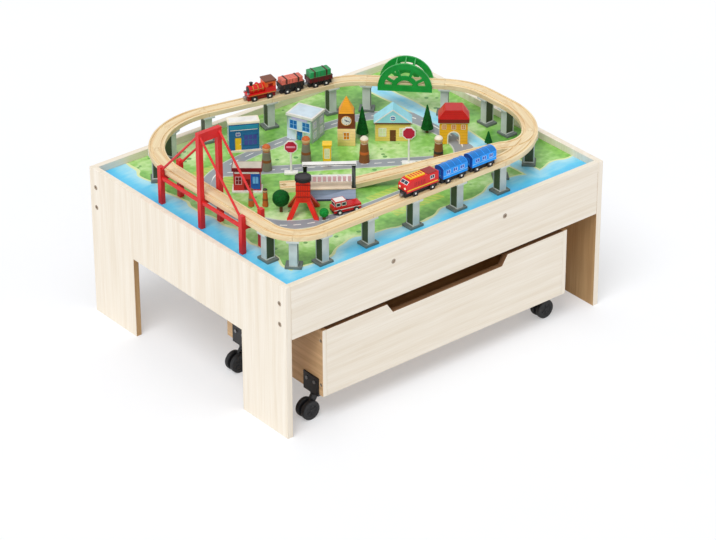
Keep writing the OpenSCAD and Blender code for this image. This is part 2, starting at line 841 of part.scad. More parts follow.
// Wagon i of each train, with its front towards +X and the track's top at z = 0
module on_front_run(i)
    pose(run_at(0, run_len(0) - front_engine_in + train_back(front_train, i)), 180, deck_z + track_t)
        children();
module on_back_run(i)
    pose(run_at(3, back_engine_s - train_back(back_train, i)), back_turn, deck_z + track_t) children();

// Place of an axle along its wagon; end is 1 at the front and -1 at the rear
function axle_at(len, end, lead) = end * (len / 2 - axle_in) - (end > 0 ? lead : 0);

// Underframe with two axle bores and a magnet at each end
module underframe(len, lead = 0) {
    magnet_len = (car_gap - magnet_gap) / 2;
    difference() {
        translate([-len / 2, -chassis_w / 2, chassis_z]) cube([len, chassis_w, car_floor - chassis_z]);
        for (end = [-1, 1])
            translate([axle_at(len, end, lead), chassis_w, axle_z]) rotate([90, 0, 0])
                cylinder(d = rail_axle_d + 2 * axle_play, h = 2 * chassis_w);
    }
    for (s = [-1, 1])
        translate([s * (len / 2 - eps), 0, (chassis_z + car_floor) / 2]) rotate([0, 90 * s, 0])
            cylinder(d = magnet_d, h = magnet_len + eps);
}

// Prism of a side outline in x and z, w wide across the track
module side_prism(w) rotate([90, 0, 0]) linear_extrude(w, center = true) children();

// Box engine: a long body with a sloping nose, a hood on its front half and cab windows
module box_engine_body() {
    body_h = 29;
    nose_len = 14;
    nose_drop = 12;
    hood = [44, 22, 4];
    hood_in = 16;
    window = [14, 1, 10];
    window_at = [-30, 14];
    half = front_engine_len / 2;
    top = car_floor + body_h;
    underframe(front_engine_len, axle_lead);
    difference() {
        side_prism(car_w)
            polygon([[-half, car_floor - eps], [half, car_floor - eps], [half, top - nose_drop],
                [half - nose_len, top], [-half, top]]);
        for (s = [-1, 1])
            translate([window_at.x - window.x / 2, s * car_w / 2 - window.y, car_floor + window_at.y])
                cube([window.x, 2 * window.y, window.z]);
    }
    translate([half - hood_in - hood.x, -hood.y / 2, top - eps]) cube([hood.x, hood.y, hood.z + eps]);
}

// Steam engine: footplate, boiler, chimney, dome and cab
module steam_engine_body() {
    plate_t = 4;
    cab_len = 29;
    cab_h = 27;
    roof_t = 3;
    roof_lip = 1;
    boiler_r = 11;
    sunk = 2;
    buffer_len = 5;
    chimney_d = 8;
    chimney_h = 8;
    chimney_in = 9;
    dome_d = 10;
    dome_in = 24;
    window = [14, 11];
    sill_h = 10;
    rear = -back_engine_len / 2;
    nose = back_engine_len / 2 - buffer_len;
    plate_top = car_floor + plate_t;
    boiler_z = plate_top + boiler_r - sunk;
    underframe(back_engine_len);
    translate([rear, -car_w / 2, car_floor - eps]) cube([back_engine_len, car_w, plate_t + eps]);
    translate([rear + cab_len - eps, 0, boiler_z]) rotate([0, 90, 0])
        cylinder(r = boiler_r, h = nose - rear - cab_len + eps);
    translate([nose - chimney_in, 0, boiler_z]) cylinder(d = chimney_d, h = boiler_r + chimney_h);
    translate([nose - dome_in, 0, boiler_z + boiler_r]) sphere(d = dome_d);
    difference() {
        translate([rear, roof_lip - car_w / 2, car_floor])
            cube([cab_len, car_w - 2 * roof_lip, plate_t + cab_h]);
        translate([rear + (cab_len - window.x) / 2, -car_w, plate_top + sill_h])
            cube([window.x, 2 * car_w, window.y]);
    }
    translate([rear - roof_lip, -car_w / 2 - roof_lip, plate_top + cab_h - eps])
        cube([cab_len + 2 * roof_lip, car_w + 2 * roof_lip, roof_t + eps]);
}

// Passenger coach with a rounded roof and shallow windows
module coach_body() {
    wall_h = 24;
    roof_r = 22;
    window = [13, 1, 10];
    window_z = 10;
    window_step = coach_len * 0.28;
    underframe(coach_len);
    difference() {
        translate([-coach_len / 2, 0, car_floor - eps]) rotate([90, 0, 90]) linear_extrude(coach_len) {
            translate([-car_w / 2, 0]) square([car_w, wall_h + eps]);
            intersection() {
                translate([0, wall_h + eps - sqrt(roof_r * roof_r - car_w * car_w / 4)]) circle(roof_r);
                translate([-car_w / 2, wall_h]) square([car_w, roof_r]);
            }
        }
        for (s = [-1, 1], x = [-1, 0, 1])
            translate([x * window_step - window.x / 2, s * car_w / 2 - window.y, car_floor + window_z])
                cube([window.x, 2 * window.y, window.z]);
    }
}

// Open wagon with a low tub and a load that stands on its floor
module wagon_body(load_h) {
    tub_h = 12;
    wall = 3;
    underframe(wagon_len);
    translate([-wagon_len / 2, -car_w / 2, car_floor - eps]) cube([wagon_len, car_w, tub_h + eps]);
    translate([wall - wagon_len / 2, wall - car_w / 2, car_floor])
        cube([wagon_len - 2 * wall, car_w - 2 * wall, load_h]);
}

module front_engine() color("red") on_front_run(0) box_engine_body();
module front_second() color("dodgerblue") on_front_run(1) coach_body();
module front_third() color("dodgerblue") on_front_run(2) coach_body();
module back_engine() color("red") on_back_run(0) steam_engine_body();
module back_second() color("salmon") on_back_run(1) wagon_body(second_load_h);
module back_third() color("green") on_back_run(2) wagon_body(third_load_h);

// Axle with two wheels that run in the grooves
module wheel_pair(len, end, lead) {
    translate([axle_at(len, end, lead), 0, axle_z]) rotate([90, 0, 0]) {
        cylinder(d = rail_axle_d, h = 2 * groove_mid, center = true);
        for (s = [-1, 1]) translate([0, 0, s * groove_mid])
            cylinder(d = rail_wheel_d, h = rail_wheel_t, center = true);
    }
}

module front_axle(i, end)
    color("black") on_front_run(i) wheel_pair(front_train[i], end, i == 0 ? axle_lead : 0);
module back_axle(i, end) color("black") on_back_run(i) wheel_pair(back_train[i], end, 0);

// Places a town piece with its face's foot at the point and its depth along +Y
module on_board(at, turn) pose(at, turn, board_top) children();

module block(w, d, z, h, front = 0) translate([-w / 2, front, z]) cube([w, d, h]);

// Prism of a front outline in x and z
module front_prism(d, front = 0)
    translate([0, front + d, 0]) rotate([90, 0, 0]) linear_extrude(d) children();

// Flat-roofed shop on a base, with a door and a cornice
module shop() {
    base_t = 6;
    base_lip = 3;
    wall_in = 2;
    door = [16, 34];
    door_x = -15;
    door_d = 2;
    cornice_t = 5;
    cornice_lip = 2;
    color("steelblue") on_board(spot(shop_at), shop_turn) {
        block(shop_w + 2 * base_lip, town_d, 0, base_t);
        difference() {
            block(shop_w, town_d - 2 * wall_in, base_t - eps, shop_h - base_t + eps, wall_in);
            translate([door_x, 0, 0]) block(door.x, 2 * door_d, base_t, door.y, wall_in - door_d);
        }
        block(shop_w + 2 * cornice_lip, town_d - 2, shop_h - eps, cornice_t + eps, 1);
    }
}

// Broad building with a gateway and two windows
module gate_building() {
    window = [22, 25];
    window_z = 29;
    recess = 1;
    gate = [18, 26];
    gateway_d = 4;
    cornice_t = 6;
    cornice_lip = 2;
    color("lightsteelblue") on_board(spot(gate_at), gate_turn) {
        difference() {
            block(gate_w, gate_depth, 0, gate_h);
            for (x = [-1, 1])
                translate([x * gate_w / 4, 0, 0]) block(window.x, 2 * recess, window_z, window.y, -recess);
            block(gate.x, 2 * gateway_d, -eps, gate.y + eps, -gateway_d);
        }
        block(gate_w + 2 * cornice_lip, gate_depth + 2 * cornice_lip, gate_h - eps, cornice_t + eps,
            -cornice_lip);
    }
}

// Clock tower: a base, a belfry with a round dial and a pyramid roof
module clock_tower() {
    base_h = 50;
    belfry_h = 40;
    belfry_in = 2;
    dial_d = 26;
    dial_t = 1.5;
    roof_h = 40;
    roof_d = clock_w * 1.2;
    roof_tip = 2;
    color("goldenrod") on_board(spot(clock_at), town_turn) {
        block(clock_w, town_d, 0, base_h);
        block(clock_w - 2 * belfry_in, town_d - 2 * belfry_in, base_h - eps, belfry_h + eps, belfry_in);
        translate([0, belfry_in + eps, base_h + belfry_h / 2]) rotate([90, 0, 0])
            cylinder(d = dial_d, h = dial_t + eps);
        translate([0, town_d / 2, base_h + belfry_h]) rotate([0, 0, 45])
            cylinder(d1 = roof_d, d2 = roof_tip, h = roof_h, $fn = 4);
    }
}

// House with a gable roof and a small round window in the gable
module house() {
    roof_h = 41;
    eave_h = 4;
    window_d = 12;
    window_z = 17;
    window_t = 1;
    over = house_w / 2 + roof_over;
    color("khaki") on_board(spot(house_at), town_turn) {
        block(house_w, town_d, 0, house_wall);
        front_prism(town_d + 2 * roof_over, -roof_over)
            polygon([[-over, house_wall - eps], [over, house_wall - eps], [over, house_wall + eave_h],
                [0, house_wall + roof_h], [-over, house_wall + eave_h]]);
        translate([0, -roof_over - window_t, house_wall + window_z]) rotate([-90, 0, 0])
            cylinder(d = window_d, h = window_t + eps);
    }
}

// Building with a round-headed archway right through it and a hipped roof
module arch_house() {
    wall_h = 61;
    door_w = 26;
    door_h = 20;
    roof_h = 35;
    ridge = 0.55;
    through = town_d + 2 * eps;
    over = arch_house_w / 2 + roof_over;
    eave = wall_h + roof_h / 3;
    top = wall_h + roof_h;
    color("orange") on_board(spot(arch_house_at), town_turn) {
        difference() {
            block(arch_house_w, town_d, 0, wall_h);
            block(door_w, through, -eps, door_h + eps, -eps);
            translate([0, -eps, door_h]) rotate([-90, 0, 0]) cylinder(d = door_w, h = through);
        }
        front_prism(town_d + 2 * roof_over, -roof_over)
            polygon([[-over, wall_h - eps], [over, wall_h - eps], [over, eave],
                [over * ridge, top], [-over * ridge, top], [-over, eave]]);
    }
}

// Platform beside the flat track, with two posts at its front, a roof beam and a rail
module station() {
    post = 9;
    beam_t = 5;
    beam_lip = 2;
    rail = [7, 16];
    rail_z = 18;
    face = track_w / 2 + platform_gap + platform_d;
    mid = ramp_low - platform_s * unit(ramp_turn) + face * unit(ramp_turn - 90);
    color("slategray") on_board(mid, platform_turn) {
        block(platform_len, platform_d, 0, platform_h);
        for (s = [-1, 1]) translate([s * (platform_len - post) / 2, 0, 0])
            block(post, post, platform_h - eps, station_h - platform_h + eps);
        block(platform_len + 2 * beam_lip, post + 2 * beam_lip, station_h - eps, beam_t + eps, -beam_lip);
        block(platform_len - post, rail.x, platform_h + rail_z, rail.y, (post - rail.x) / 2);
    }
}

// Kiosk with a door, on a low base and under a thick roof
module kiosk() {
    base_t = 5;
    base_lip = 4;
    wall_in = 2;
    door = [14, 30];
    door_d = 2;
    roof_t = 9;
    color("firebrick") on_board(spot(kiosk_at), town_turn) {
        block(kiosk_w + 2 * base_lip, town_d + base_lip, 0, base_t, -base_lip);
        difference() {
            block(kiosk_w, town_d - 2 * wall_in, base_t - eps, kiosk_h - base_t + eps, wall_in);
            block(door.x, 2 * door_d, base_t, door.y, wall_in - door_d);
        }
        block(kiosk_w + 2 * base_lip, town_d + 2, kiosk_h - eps, roof_t + eps, -1);
    }
}

// Tower on four splayed legs with a round tank lid on top
module water_tower() {
    leg = 11;
    leg_top = water_tower_h * 0.42;
    lap = 6;
    column_w = 34;
    lean = atan2((water_tower_w - column_w) / 2, leg_top);
    lid_h = 9;
    lid_d = 40;
    stand = (water_tower_w - leg) / 2;
    color("red") on_board(spot(water_tower_at), town_turn) {
        for (sx = [-1, 1], sy = [-1, 1]) intersection() {
            translate([sx * stand, sy * stand, 0]) rotate([sy * lean, -sx * lean, 0])
                translate([-leg / 2, -leg / 2, -leg]) cube([leg, leg, leg_top + 3 * leg]);
            translate([-water_tower_w, -water_tower_w, 0])
                cube([2 * water_tower_w, 2 * water_tower_w, leg_top + lap]);
        }
        translate([-column_w / 2, -column_w / 2, leg_top - lap])
            cube([column_w, column_w, water_tower_h - lid_h - leg_top + lap + eps]);
        translate([0, 0, water_tower_h - lid_h]) cylinder(d = lid_d, h = lid_h);
    }
}

// Cone trees and ball trees on round trunks
module trees() {
    trunk_d = 8;
    trunk_h = 12;
    tip_r = 1.5;
    color("darkgreen") {
        for (t = cones) on_board(spot(t), 0) {
            cylinder(d = trunk_d, h = trunk_h);
            translate([0, 0, trunk_h - eps]) cylinder(r1 = t[2], r2 = tip_r, h = t[3] - trunk_h);
        }
        for (t = round_trees) on_board(spot(t), 0) {
            cylinder(d = trunk_d, h = t[3] - t[2]);
            translate([0, 0, t[3] - t[2]]) sphere(t[2]);
        }
    }
}

// Eight-sided road signs on white feet, and a tall yellow call box
module road_signs() {
    foot = [34, 18, 6];
    plate_t = 4;
    plate_sides = 8;
    post = 5;
    box_w = 20;
    box_h = 56;
    cap_t = 4;
    cap_lip = 2;
    color("firebrick") {
        for (p = signs) on_board(spot(p), town_turn) {
            block(foot.x, foot.y, 0, foot.z, -foot.y / 2);
            translate([0, 0, foot.z - eps]) cylinder(d = post, h = p[2] - sign_w / 2 - foot.z);
            translate([0, plate_t / 2, p[2] - sign_w / 2]) rotate([90, 180 / plate_sides, 0])
                cylinder(d = sign_w, h = plate_t, $fn = plate_sides);
        }
        on_board(spot(call_box_at), town_turn) {
            block(box_w, box_w, 0, box_h);
            block(box_w + 2 * cap_lip, box_w + 2 * cap_lip, box_h - eps, cap_t + eps, -cap_lip);
        }
    }
}

// Turned peg figure: a tapered body and a ball head
module peg_figure(h, d) {
    head = d * 0.8;
    shoulder_d = d * 0.72;
    shoulder_h = h - head * 0.9;
    cylinder(d1 = d, d2 = shoulder_d, h = shoulder_h);
    translate([0, 0, h - head / 2]) sphere(d = head);
}

module figures() {
    tall_d = 27;
    small_h = 48;
    small_d = 15;
    color("sienna") {
        for (p = tall_figures) on_board(spot(p), 0) peg_figure(figure_h, tall_d);
        for (p = small_figures) on_board(spot(p), 0) peg_figure(small_h, small_d);
    }
}

// Block-built car with a cab and four discs for wheels
module toy_car() {
    body_w = 26;
    body_h = 14;
    tyre_d = 14;
    tyre_t = 4;
    cab = [30, 24, 15];
    cab_in = 4;
    sill = 6;
    color("crimson") on_board(spot(car_at), car_turn) translate([0, body_w / 2 + tyre_t, 0]) {
        translate([-car_len / 2, -body_w / 2, sill]) cube([car_len, body_w, body_h]);
        translate([cab_in - car_len / 2, -cab.y / 2, sill + body_h - eps]) cube([cab.x, cab.y, cab.z + eps]);
        for (x = [-1, 1], s = [-1, 1])
            translate([x * (car_len / 2 - tyre_d), s * (body_w / 2 + tyre_t / 2 - eps), tyre_d / 2])
                rotate([90, 0, 0]) cylinder(d = tyre_d, h = tyre_t + eps, center = true);
    }
}

end_panel(-1);  // end_panel_left
end_panel(1);  // end_panel_right
apron(-1);  // front_apron
apron(1);  // back_apron
play_board();
cross_rails();
corner_battens();
frame_screws();
drawer_front();
drawer_back();
drawer_side(-1);  // drawer_side_left
drawer_side(1);  // drawer_side_right
drawer_bottom();
drawer_screws();
caster_brackets();
for (i = [0:3]) {
    caster_fork(i);
    caster_wheel(i);
}
loop_straights();
loop_curves();
branch_track();
track_risers();
bridge_frames();
bridge_stays();
arch_bridge();
front_engine();
front_second();
front_third();
back_engine();
back_second();
back_third();
for (i = [0:2], e = [0, 1]) {
    label = str(train_cars[i], "_", train_ends[e], "_axle");
    front_axle(i, 1 - 2 * e);
    back_axle(i, 1 - 2 * e);
}
shop();
gate_building();
clock_tower();
house();
arch_house();
station();
kiosk();
water_tower();
trees();
road_signs();
figures();
toy_car();
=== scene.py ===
from math import atan2, cos, pi, radians, sin, sqrt

import bmesh
import bpy
from mathutils import Matrix, Vector


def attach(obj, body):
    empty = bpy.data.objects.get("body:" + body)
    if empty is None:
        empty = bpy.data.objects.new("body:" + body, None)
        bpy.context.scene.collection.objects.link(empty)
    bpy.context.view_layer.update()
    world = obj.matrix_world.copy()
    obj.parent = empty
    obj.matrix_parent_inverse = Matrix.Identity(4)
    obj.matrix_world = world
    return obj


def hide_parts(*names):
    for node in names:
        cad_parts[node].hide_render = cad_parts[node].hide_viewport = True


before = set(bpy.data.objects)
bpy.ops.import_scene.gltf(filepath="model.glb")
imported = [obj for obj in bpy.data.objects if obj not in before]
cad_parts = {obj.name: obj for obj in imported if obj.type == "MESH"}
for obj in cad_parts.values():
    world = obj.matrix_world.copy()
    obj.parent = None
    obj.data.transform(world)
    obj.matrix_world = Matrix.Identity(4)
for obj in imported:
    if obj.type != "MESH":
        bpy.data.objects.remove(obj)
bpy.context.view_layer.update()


# Table frame
# Two end panels with their legs and two aprons, sawn from board with a pale wood face.
# Their edges are eased, and screws through the panels and aprons hold the frame together.
class Level:
    """A number that changes over a surface; sums of levels add their own nodes."""

    def __init__(self, finish, socket):
        self.finish = finish
        self.socket = socket

    def maths(self, operation, *values):
        return self.finish.node("ShaderNodeMath", {"operation": operation}, dict(enumerate(values)))

    def __abs__(self):
        return self.maths("ABSOLUTE", self)


def overload(sign, operation):
    """Lets a sign between two levels, or between a level and a number, add its Math node."""
    setattr(Level, f"__{sign}__", lambda level, other: level.maths(operation, level, other))
    setattr(Level, f"__r{sign}__", lambda level, other: level.maths(operation, other, level))


for sign, operation in (("add", "ADD"), ("sub", "SUBTRACT"), ("mul", "MULTIPLY"), ("truediv", "DIVIDE"),
                        ("pow", "POWER"), ("mod", "FLOORED_MODULO"), ("lt", "LESS_THAN"),
                        ("gt", "GREATER_THAN"), ("and", "MINIMUM"), ("or", "MAXIMUM")):
    overload(sign, operation)


class Finish:
    """A material: one shader, and the nodes that vary it over a surface."""

    def __init__(self, name, plain):
        self.material = bpy.data.materials.new(name)
        self.material.use_nodes = True
        self.tree = self.material.node_tree
        self.shader = self.tree.nodes["Principled BSDF"]
        for socket, value in plain.items():
            self.shader.inputs[socket].default_value = value
        self.place = self.node("ShaderNodeTexCoord", out="Object")

    def node(self, kind, settings={}, sockets={}, out=0):
        made = self.tree.nodes.new(kind)
        for name, value in settings.items():
            if name == "stops":
                self.set_stops(made.color_ramp.elements, value)
            else:
                setattr(made, name, value)
        for name, value in sockets.items():
            self.join(made.inputs[name], value)
        return Level(self, made.outputs[out])

    def set_stops(self, elements, stops):
        for position, shade in stops[2:]:
            elements.new(position)
        for element, (position, shade) in zip(elements, stops):
            element.position = position
            element.color = shade

    def join(self, socket, value):
        if isinstance(value, Level):
            self.tree.links.new(value.socket, socket)
        else:
            socket.default_value = value

    def feed(self, sockets):
        for name, value in sockets.items():
            self.join(self.shader.inputs[name], value)

    def noise(self, scale, detail=2, place=None):
        """Cloudy noise with its own scale along X, Y and Z."""
        spread = self.node("ShaderNodeMapping", {}, {"Vector": place or self.place, "Scale": scale})
        return self.node("ShaderNodeTexNoise", {}, {"Vector": spread, "Scale": 1, "Detail": detail})

    def blend(self, mask, first, second):
        """One colour where the mask is 0 and another where it is 1."""
        return self.node("ShaderNodeMix", {"data_type": "RGBA"}, {0: mask, 6: first, 7: second}, out=2)

    def ramp(self, level, *stops):
        return self.node("ShaderNodeValToRGB", {"stops": stops}, {0: level})

    def relief(self, height, strength, depth):
        return self.node("ShaderNodeBump", {}, {"Height": height, "Strength": strength, "Distance": depth})


def shade(red, green, blue):
    """Colour as it looks on a screen, from 0 to 255, made linear."""
    parts = [part / 255 for part in (red, green, blue)]
    return [part / 12.92 if part < 0.04045 else ((part + 0.055) / 1.055) ** 2.4 for part in parts] + [1]


def wood(name, pale, dark, along, place=None, roughness=0.5):
    """Planed wood whose grain runs along one axis, with bands, fine streaks and pores."""
    pale, dark = shade(*pale), shade(*dark)
    finish = Finish(name, {"Specular IOR Level": 0.35})
    if place:
        finish.place = finish.node("ShaderNodeAttribute", {"attribute_name": place}, out="Vector")

    def streaks(across, run, detail):
        return finish.noise([run if axis == along else across for axis in range(3)], detail)

    bands = streaks(70, 2.5, 3)
    fibres = streaks(420, 9, 2)
    pores = streaks(1500, 45, 1)
    tone = finish.ramp(0.6 * bands + 0.4 * fibres, (0.36, pale), (0.66, dark))
    finish.feed({
        "Base Color": finish.blend((pores > 0.66) * 0.16, tone, dark),
        "Roughness": roughness + 0.2 * (fibres - 0.5),
        "Normal": finish.relief(fibres + 0.6 * pores, 0.12, 0.0004),
    })
    return finish


class Piece:
    """A piece in the making, in millimetres about a place of its own."""

    def __init__(self, name, place=Matrix()):
        self.name = name
        self.place = place
        self.mesh = bmesh.new()
        self.finishes = []

    def number(self, finish):
        if finish not in self.finishes:
            self.finishes.append(finish)
        return self.finishes.index(finish)

    def add(self, form, finish, place=Matrix()):
        """Joins a form to the piece at a place of its own."""
        for face in form.faces:
            face.material_index = self.number(finish)
        form.transform(place)
        carrier = bpy.data.meshes.new("form")
        form.to_mesh(carrier)
        form.free()
        self.mesh.from_mesh(carrier)
        bpy.data.meshes.remove(carrier)

    def solid(self, node, finish, ease=0.7, least=0):
        """Takes over a solid's own shape, with its edges rounded from a least length on."""
        form = bmesh.new()
        form.from_mesh(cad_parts[node].data)
        form.transform(self.place.inverted() @ Matrix.Scale(1000, 4))
        bmesh.ops.remove_doubles(form, verts=form.verts, dist=0.01)
        bmesh.ops.dissolve_limit(form, angle_limit=radians(0.5), verts=form.verts, edges=form.edges)
        round_edges(form, ease, least)
        self.add(form, finish)

    def paint(self, finish, where=lambda middle, facing: True, low=-1000, high=1000):
        """Gives a finish to the faces between two heights whose middle and direction pass a test."""
        for face in self.mesh.faces:
            middle = face.calc_center_median()
            if low < middle.z < high and where(middle, face.normal):
                face.material_index = self.number(finish)

    def cut(self, height):
        """Scores the piece all round at a height, so that what is above can have its own finish."""
        whole = self.mesh.verts[:] + self.mesh.edges[:] + self.mesh.faces[:]
        bmesh.ops.bisect_plane(self.mesh, geom=whole, plane_co=(0, 0, height), plane_no=(0, 0, 1))

    def settle(self, body, slot, *nodes):
        """Puts the piece in its place, on the body that carries it and for the nodes it stands for."""
        self.mesh.transform(Matrix.Scale(0.001, 4) @ self.place)
        for face in self.mesh.faces:
            face.smooth = True
        for edge in self.mesh.edges:
            edge.smooth = edge.is_manifold and edge.calc_face_angle() < radians(20)
        shape = bpy.data.meshes.new(self.name)
        self.mesh.to_mesh(shape)
        self.mesh.free()
        for finish in self.finishes:
            shape.materials.append(finish.material)
        thing = bpy.data.objects.new(self.name, shape)
        bpy.context.collection.objects.link(thing)
        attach(thing, body)
        if nodes:
            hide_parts(*nodes)
        return thing


def round_edges(form, width, least=0):
    """Rounds the sharp edges of a form that are long enough for it."""
    long = max(least, 3 * width)
    sharp = [edge for edge in form.edges
             if edge.is_manifold and edge.calc_face_angle() > radians(30) and edge.calc_length() > long]
    bmesh.ops.bevel(form, geom=sharp, offset=width, offset_type="OFFSET", segments=2, profile=0.5,
                    affect="EDGES", clamp_overlap=True, material=-1)


pale_wood, grain_wood = (247, 238, 223), (235, 222, 201)
upright_wood = wood("frame_wood_upright", pale_wood, grain_wood, along=2)
level_wood = wood("frame_wood_level", pale_wood, grain_wood, along=0)
leg_edge_brown = wood("frame_wood_leg_edge", (182, 152, 122), (150, 120, 92), along=2, roughness=0.65)
inside_brown = wood("frame_wood_inside", (198, 163, 116), (174, 136, 92), along=2, roughness=0.65)
board_foot = 380
for node, finish in (("end_panel_left", upright_wood), ("end_panel_right", upright_wood),
                     ("front_apron", level_wood), ("back_apron", level_wood)):
    panel = Piece(node + "_board")
    panel.solid(node, finish, ease=1.2, least=10)
    # The edges of the cut-out between the legs are painted a darker brown than the faces.
    panel.paint(leg_edge_brown, lambda middle, facing: abs(middle.y) < 235 and abs(facing.x) < 0.3, high=260)
    panel.cut(board_foot)
    # Below the board the inward faces are painted tan brown.
    panel.paint(inside_brown, lambda middle, facing: middle.dot(facing) < -100, high=board_foot)
    panel.settle("table", "frame_wood", node)


# Play board
# A thin board let in below the rim, on two rails and four corner battens of plain wood.
# Its top is printed with meadows, a shore, a river and roads.
inner_wood = wood("inner_wood_long", (214, 184, 146), (184, 148, 106), along=1, roughness=0.6)
batten_wood = wood("inner_wood_upright", (214, 184, 146), (184, 148, 106), along=2)


def printed_top():
    varnish = {"Specular IOR Level": 0.4, "Coat Weight": 0.15, "Coat Roughness": 0.3}
    finish = Finish("printed_board", varnish)
    x = finish.node("ShaderNodeSeparateXYZ", {}, {"Vector": finish.place}, out="X")
    y = finish.node("ShaderNodeSeparateXYZ", {}, {"Vector": finish.place}, out="Y")
    broad = finish.noise((6, 6, 6), 2)
    fine = finish.noise((70, 70, 70), 3)
    swell = finish.noise((22, 60, 1), 2)

    # Meadow with paler and darker patches, striped fields and round bushes
    grass = finish.ramp(0.75 * broad + 0.25 * fine, (0.36, shade(88, 156, 52)),
                        (0.5, shade(146, 206, 98)), (0.64, shade(216, 242, 178)))
    field = (abs(x - 0.02) < 0.075) & (abs(y + 0.2) < 0.06) | (abs(x + 0.3) < 0.06) & (abs(y - 0.16) < 0.07)
    furrow = ((x + 0.6 * y) * 62 % 1) < 0.5
    meadow = finish.blend(field * (0.25 + 0.35 * furrow), grass, shade(212, 214, 92))
    cells = finish.node("ShaderNodeTexVoronoi", {}, {"Vector": finish.place, "Scale": 34, "Randomness": 1})
    meadow = finish.blend((cells < 0.2) * (broad > 0.54) * 0.8, meadow, shade(58, 140, 52))

    # Water along the two near edges and a river on the far right, with a pale shore
    board_left, board_front = 0.479, 0.374
    edge = (x + board_left) & (y + board_front)
    shore = edge - 0.022 - 0.11 * broad
    stream = abs(x - 0.345 - 0.03 * (broad - 0.5)) - 0.02
    bank = shore & stream
    wet = finish.ramp(-6 * bank + 0.25 * (swell - 0.5), (0.02, shade(176, 230, 246)),
                      (0.2, shade(96, 206, 244)), (0.5, shade(44, 172, 236)))
    land = finish.blend(bank < 0.006, meadow, shade(226, 236, 176))

    # Grey roads with a pale line down the middle: one round the town and one across it
    ring = ((abs(x + 0.01) / 0.33) ** 3 + (abs(y - 0.02) / 0.2) ** 3) ** (1 / 3)
    round_way = abs(ring - 1) * 0.24
    cross_way = abs(y + 0.62 * x - 0.03) * 0.85
    way = round_way & (cross_way | (ring - 1))
    dash = ((x - y) * 22 % 1) < 0.55
    half_road, kerb, half_line = 0.018, 0.003, 0.0016
    road = finish.blend((way < half_line) * dash, shade(150, 156, 162), shade(240, 240, 232))
    land = finish.blend(way < half_road + kerb, land, shade(206, 212, 200))
    land = finish.blend(way < half_road, land, road)
    finish.feed({
        "Base Color": finish.blend(bank < 0, land, wet),
        "Roughness": 0.34 + 0.1 * fine,
        "Normal": finish.relief(fine, 0.03, 0.0003),
    })
    return finish


board = Piece("play_board_print")
board.solid("play_board", inner_wood)
board.paint(printed_top(), lambda middle, facing: facing.z > 0.9)
board.settle("table", "printed_board", "play_board")
for node, finish in (("cross_rails", inner_wood), ("corner_battens", batten_wood)):
    timber = Piece(node + "_timber")
    timber.solid(node, finish, ease=1)
    timber.settle("table", "inner_wood", node)


# Frame screws and drawer screws
# Turned steel screws with a flat head and a drilled socket, dulled to tone with the wood.
# Two hold each corner of an end panel, two each apron, and two each front corner of the drawer.
def metal(name, tone, roughness):
    tone = shade(*tone)
    finish = Finish(name, {"Metallic": 0.85})
    cloud = finish.noise((300, 300, 300), 3)
    finish.feed({
        "Base Color": finish.ramp(cloud, (0.3, tone), (0.7, [0.75 * part for part in tone[:3]] + [1])),
        "Roughness": roughness + 0.25 * (cloud - 0.5),
        "Normal": finish.relief(cloud, 0.05, 0.0002),
    })
    return finish


def turned(profile, steps=32):
    """Form turned about Z from a list of radius and height."""
    form = bmesh.new()
    points = [form.verts.new((radius, 0, height)) for radius, height in profile]
    lines = [form.edges.new(pair) for pair in zip(points, points[1:])]
    bmesh.ops.spin(form, geom=points + lines, cent=(0, 0, 0), axis=(0, 0, 1), dvec=(0, 0, 0),
                   angle=2 * pi, steps=steps, use_merge=True)
    bmesh.ops.remove_doubles(form, verts=form.verts, dist=0.001)
    bmesh.ops.recalc_face_normals(form, faces=form.faces)
    return form


def pointing(at, direction):
    """Place at a point, with Z along a direction."""
    return Matrix.Translation(at) @ Vector(direction).to_track_quat("Z", "Y").to_matrix().to_4x4()


def screw(head, thick, shank, length):
    """Screw whose head's face is at z = 0, with a drilled socket in it."""
    socket, deep = 0.26 * head, 0.6 * thick
    edge, core = head / 2, shank / 2
    return turned([(0, deep), (socket, deep), (socket, 0), (edge - 0.5, 0), (edge, 0.5), (edge, thick),
                   (core, thick), (core, length - 3), (0, length)], 24)


screw_steel = metal("screw_steel", (190, 174, 156), 0.5)
sunk = 0.2
table_half, table_half_wide, drawer_half = (half - sunk for half in (495, 390, 385))
frame_screws = Piece("frame_screw_set")
for side in (-1, 1):
    corners = [((side * table_half, y, height), (-side, 0, 0)) for y in (-366, 366) for height in (357, 302)]
    aprons = [((x, side * table_half_wide, 364), (0, -side, 0)) for x in (-174, 174)]
    for spot, inward in corners + aprons:
        frame_screws.add(screw(13, 3, 6, 33.8), screw_steel, pointing(spot, inward))
frame_screws.settle("table", "screw_steel", "frame_screws")
drawer_screws = Piece("drawer_screw_set")
for side in (-1, 1):
    for height in (100, 221):
        spot = (side * drawer_half, -378, height)
        drawer_screws.add(screw(9, 2, 4, 29.8), screw_steel, pointing(spot, (-side, 0, 0)))
drawer_screws.settle("drawer", "screw_steel", "drawer_screws")


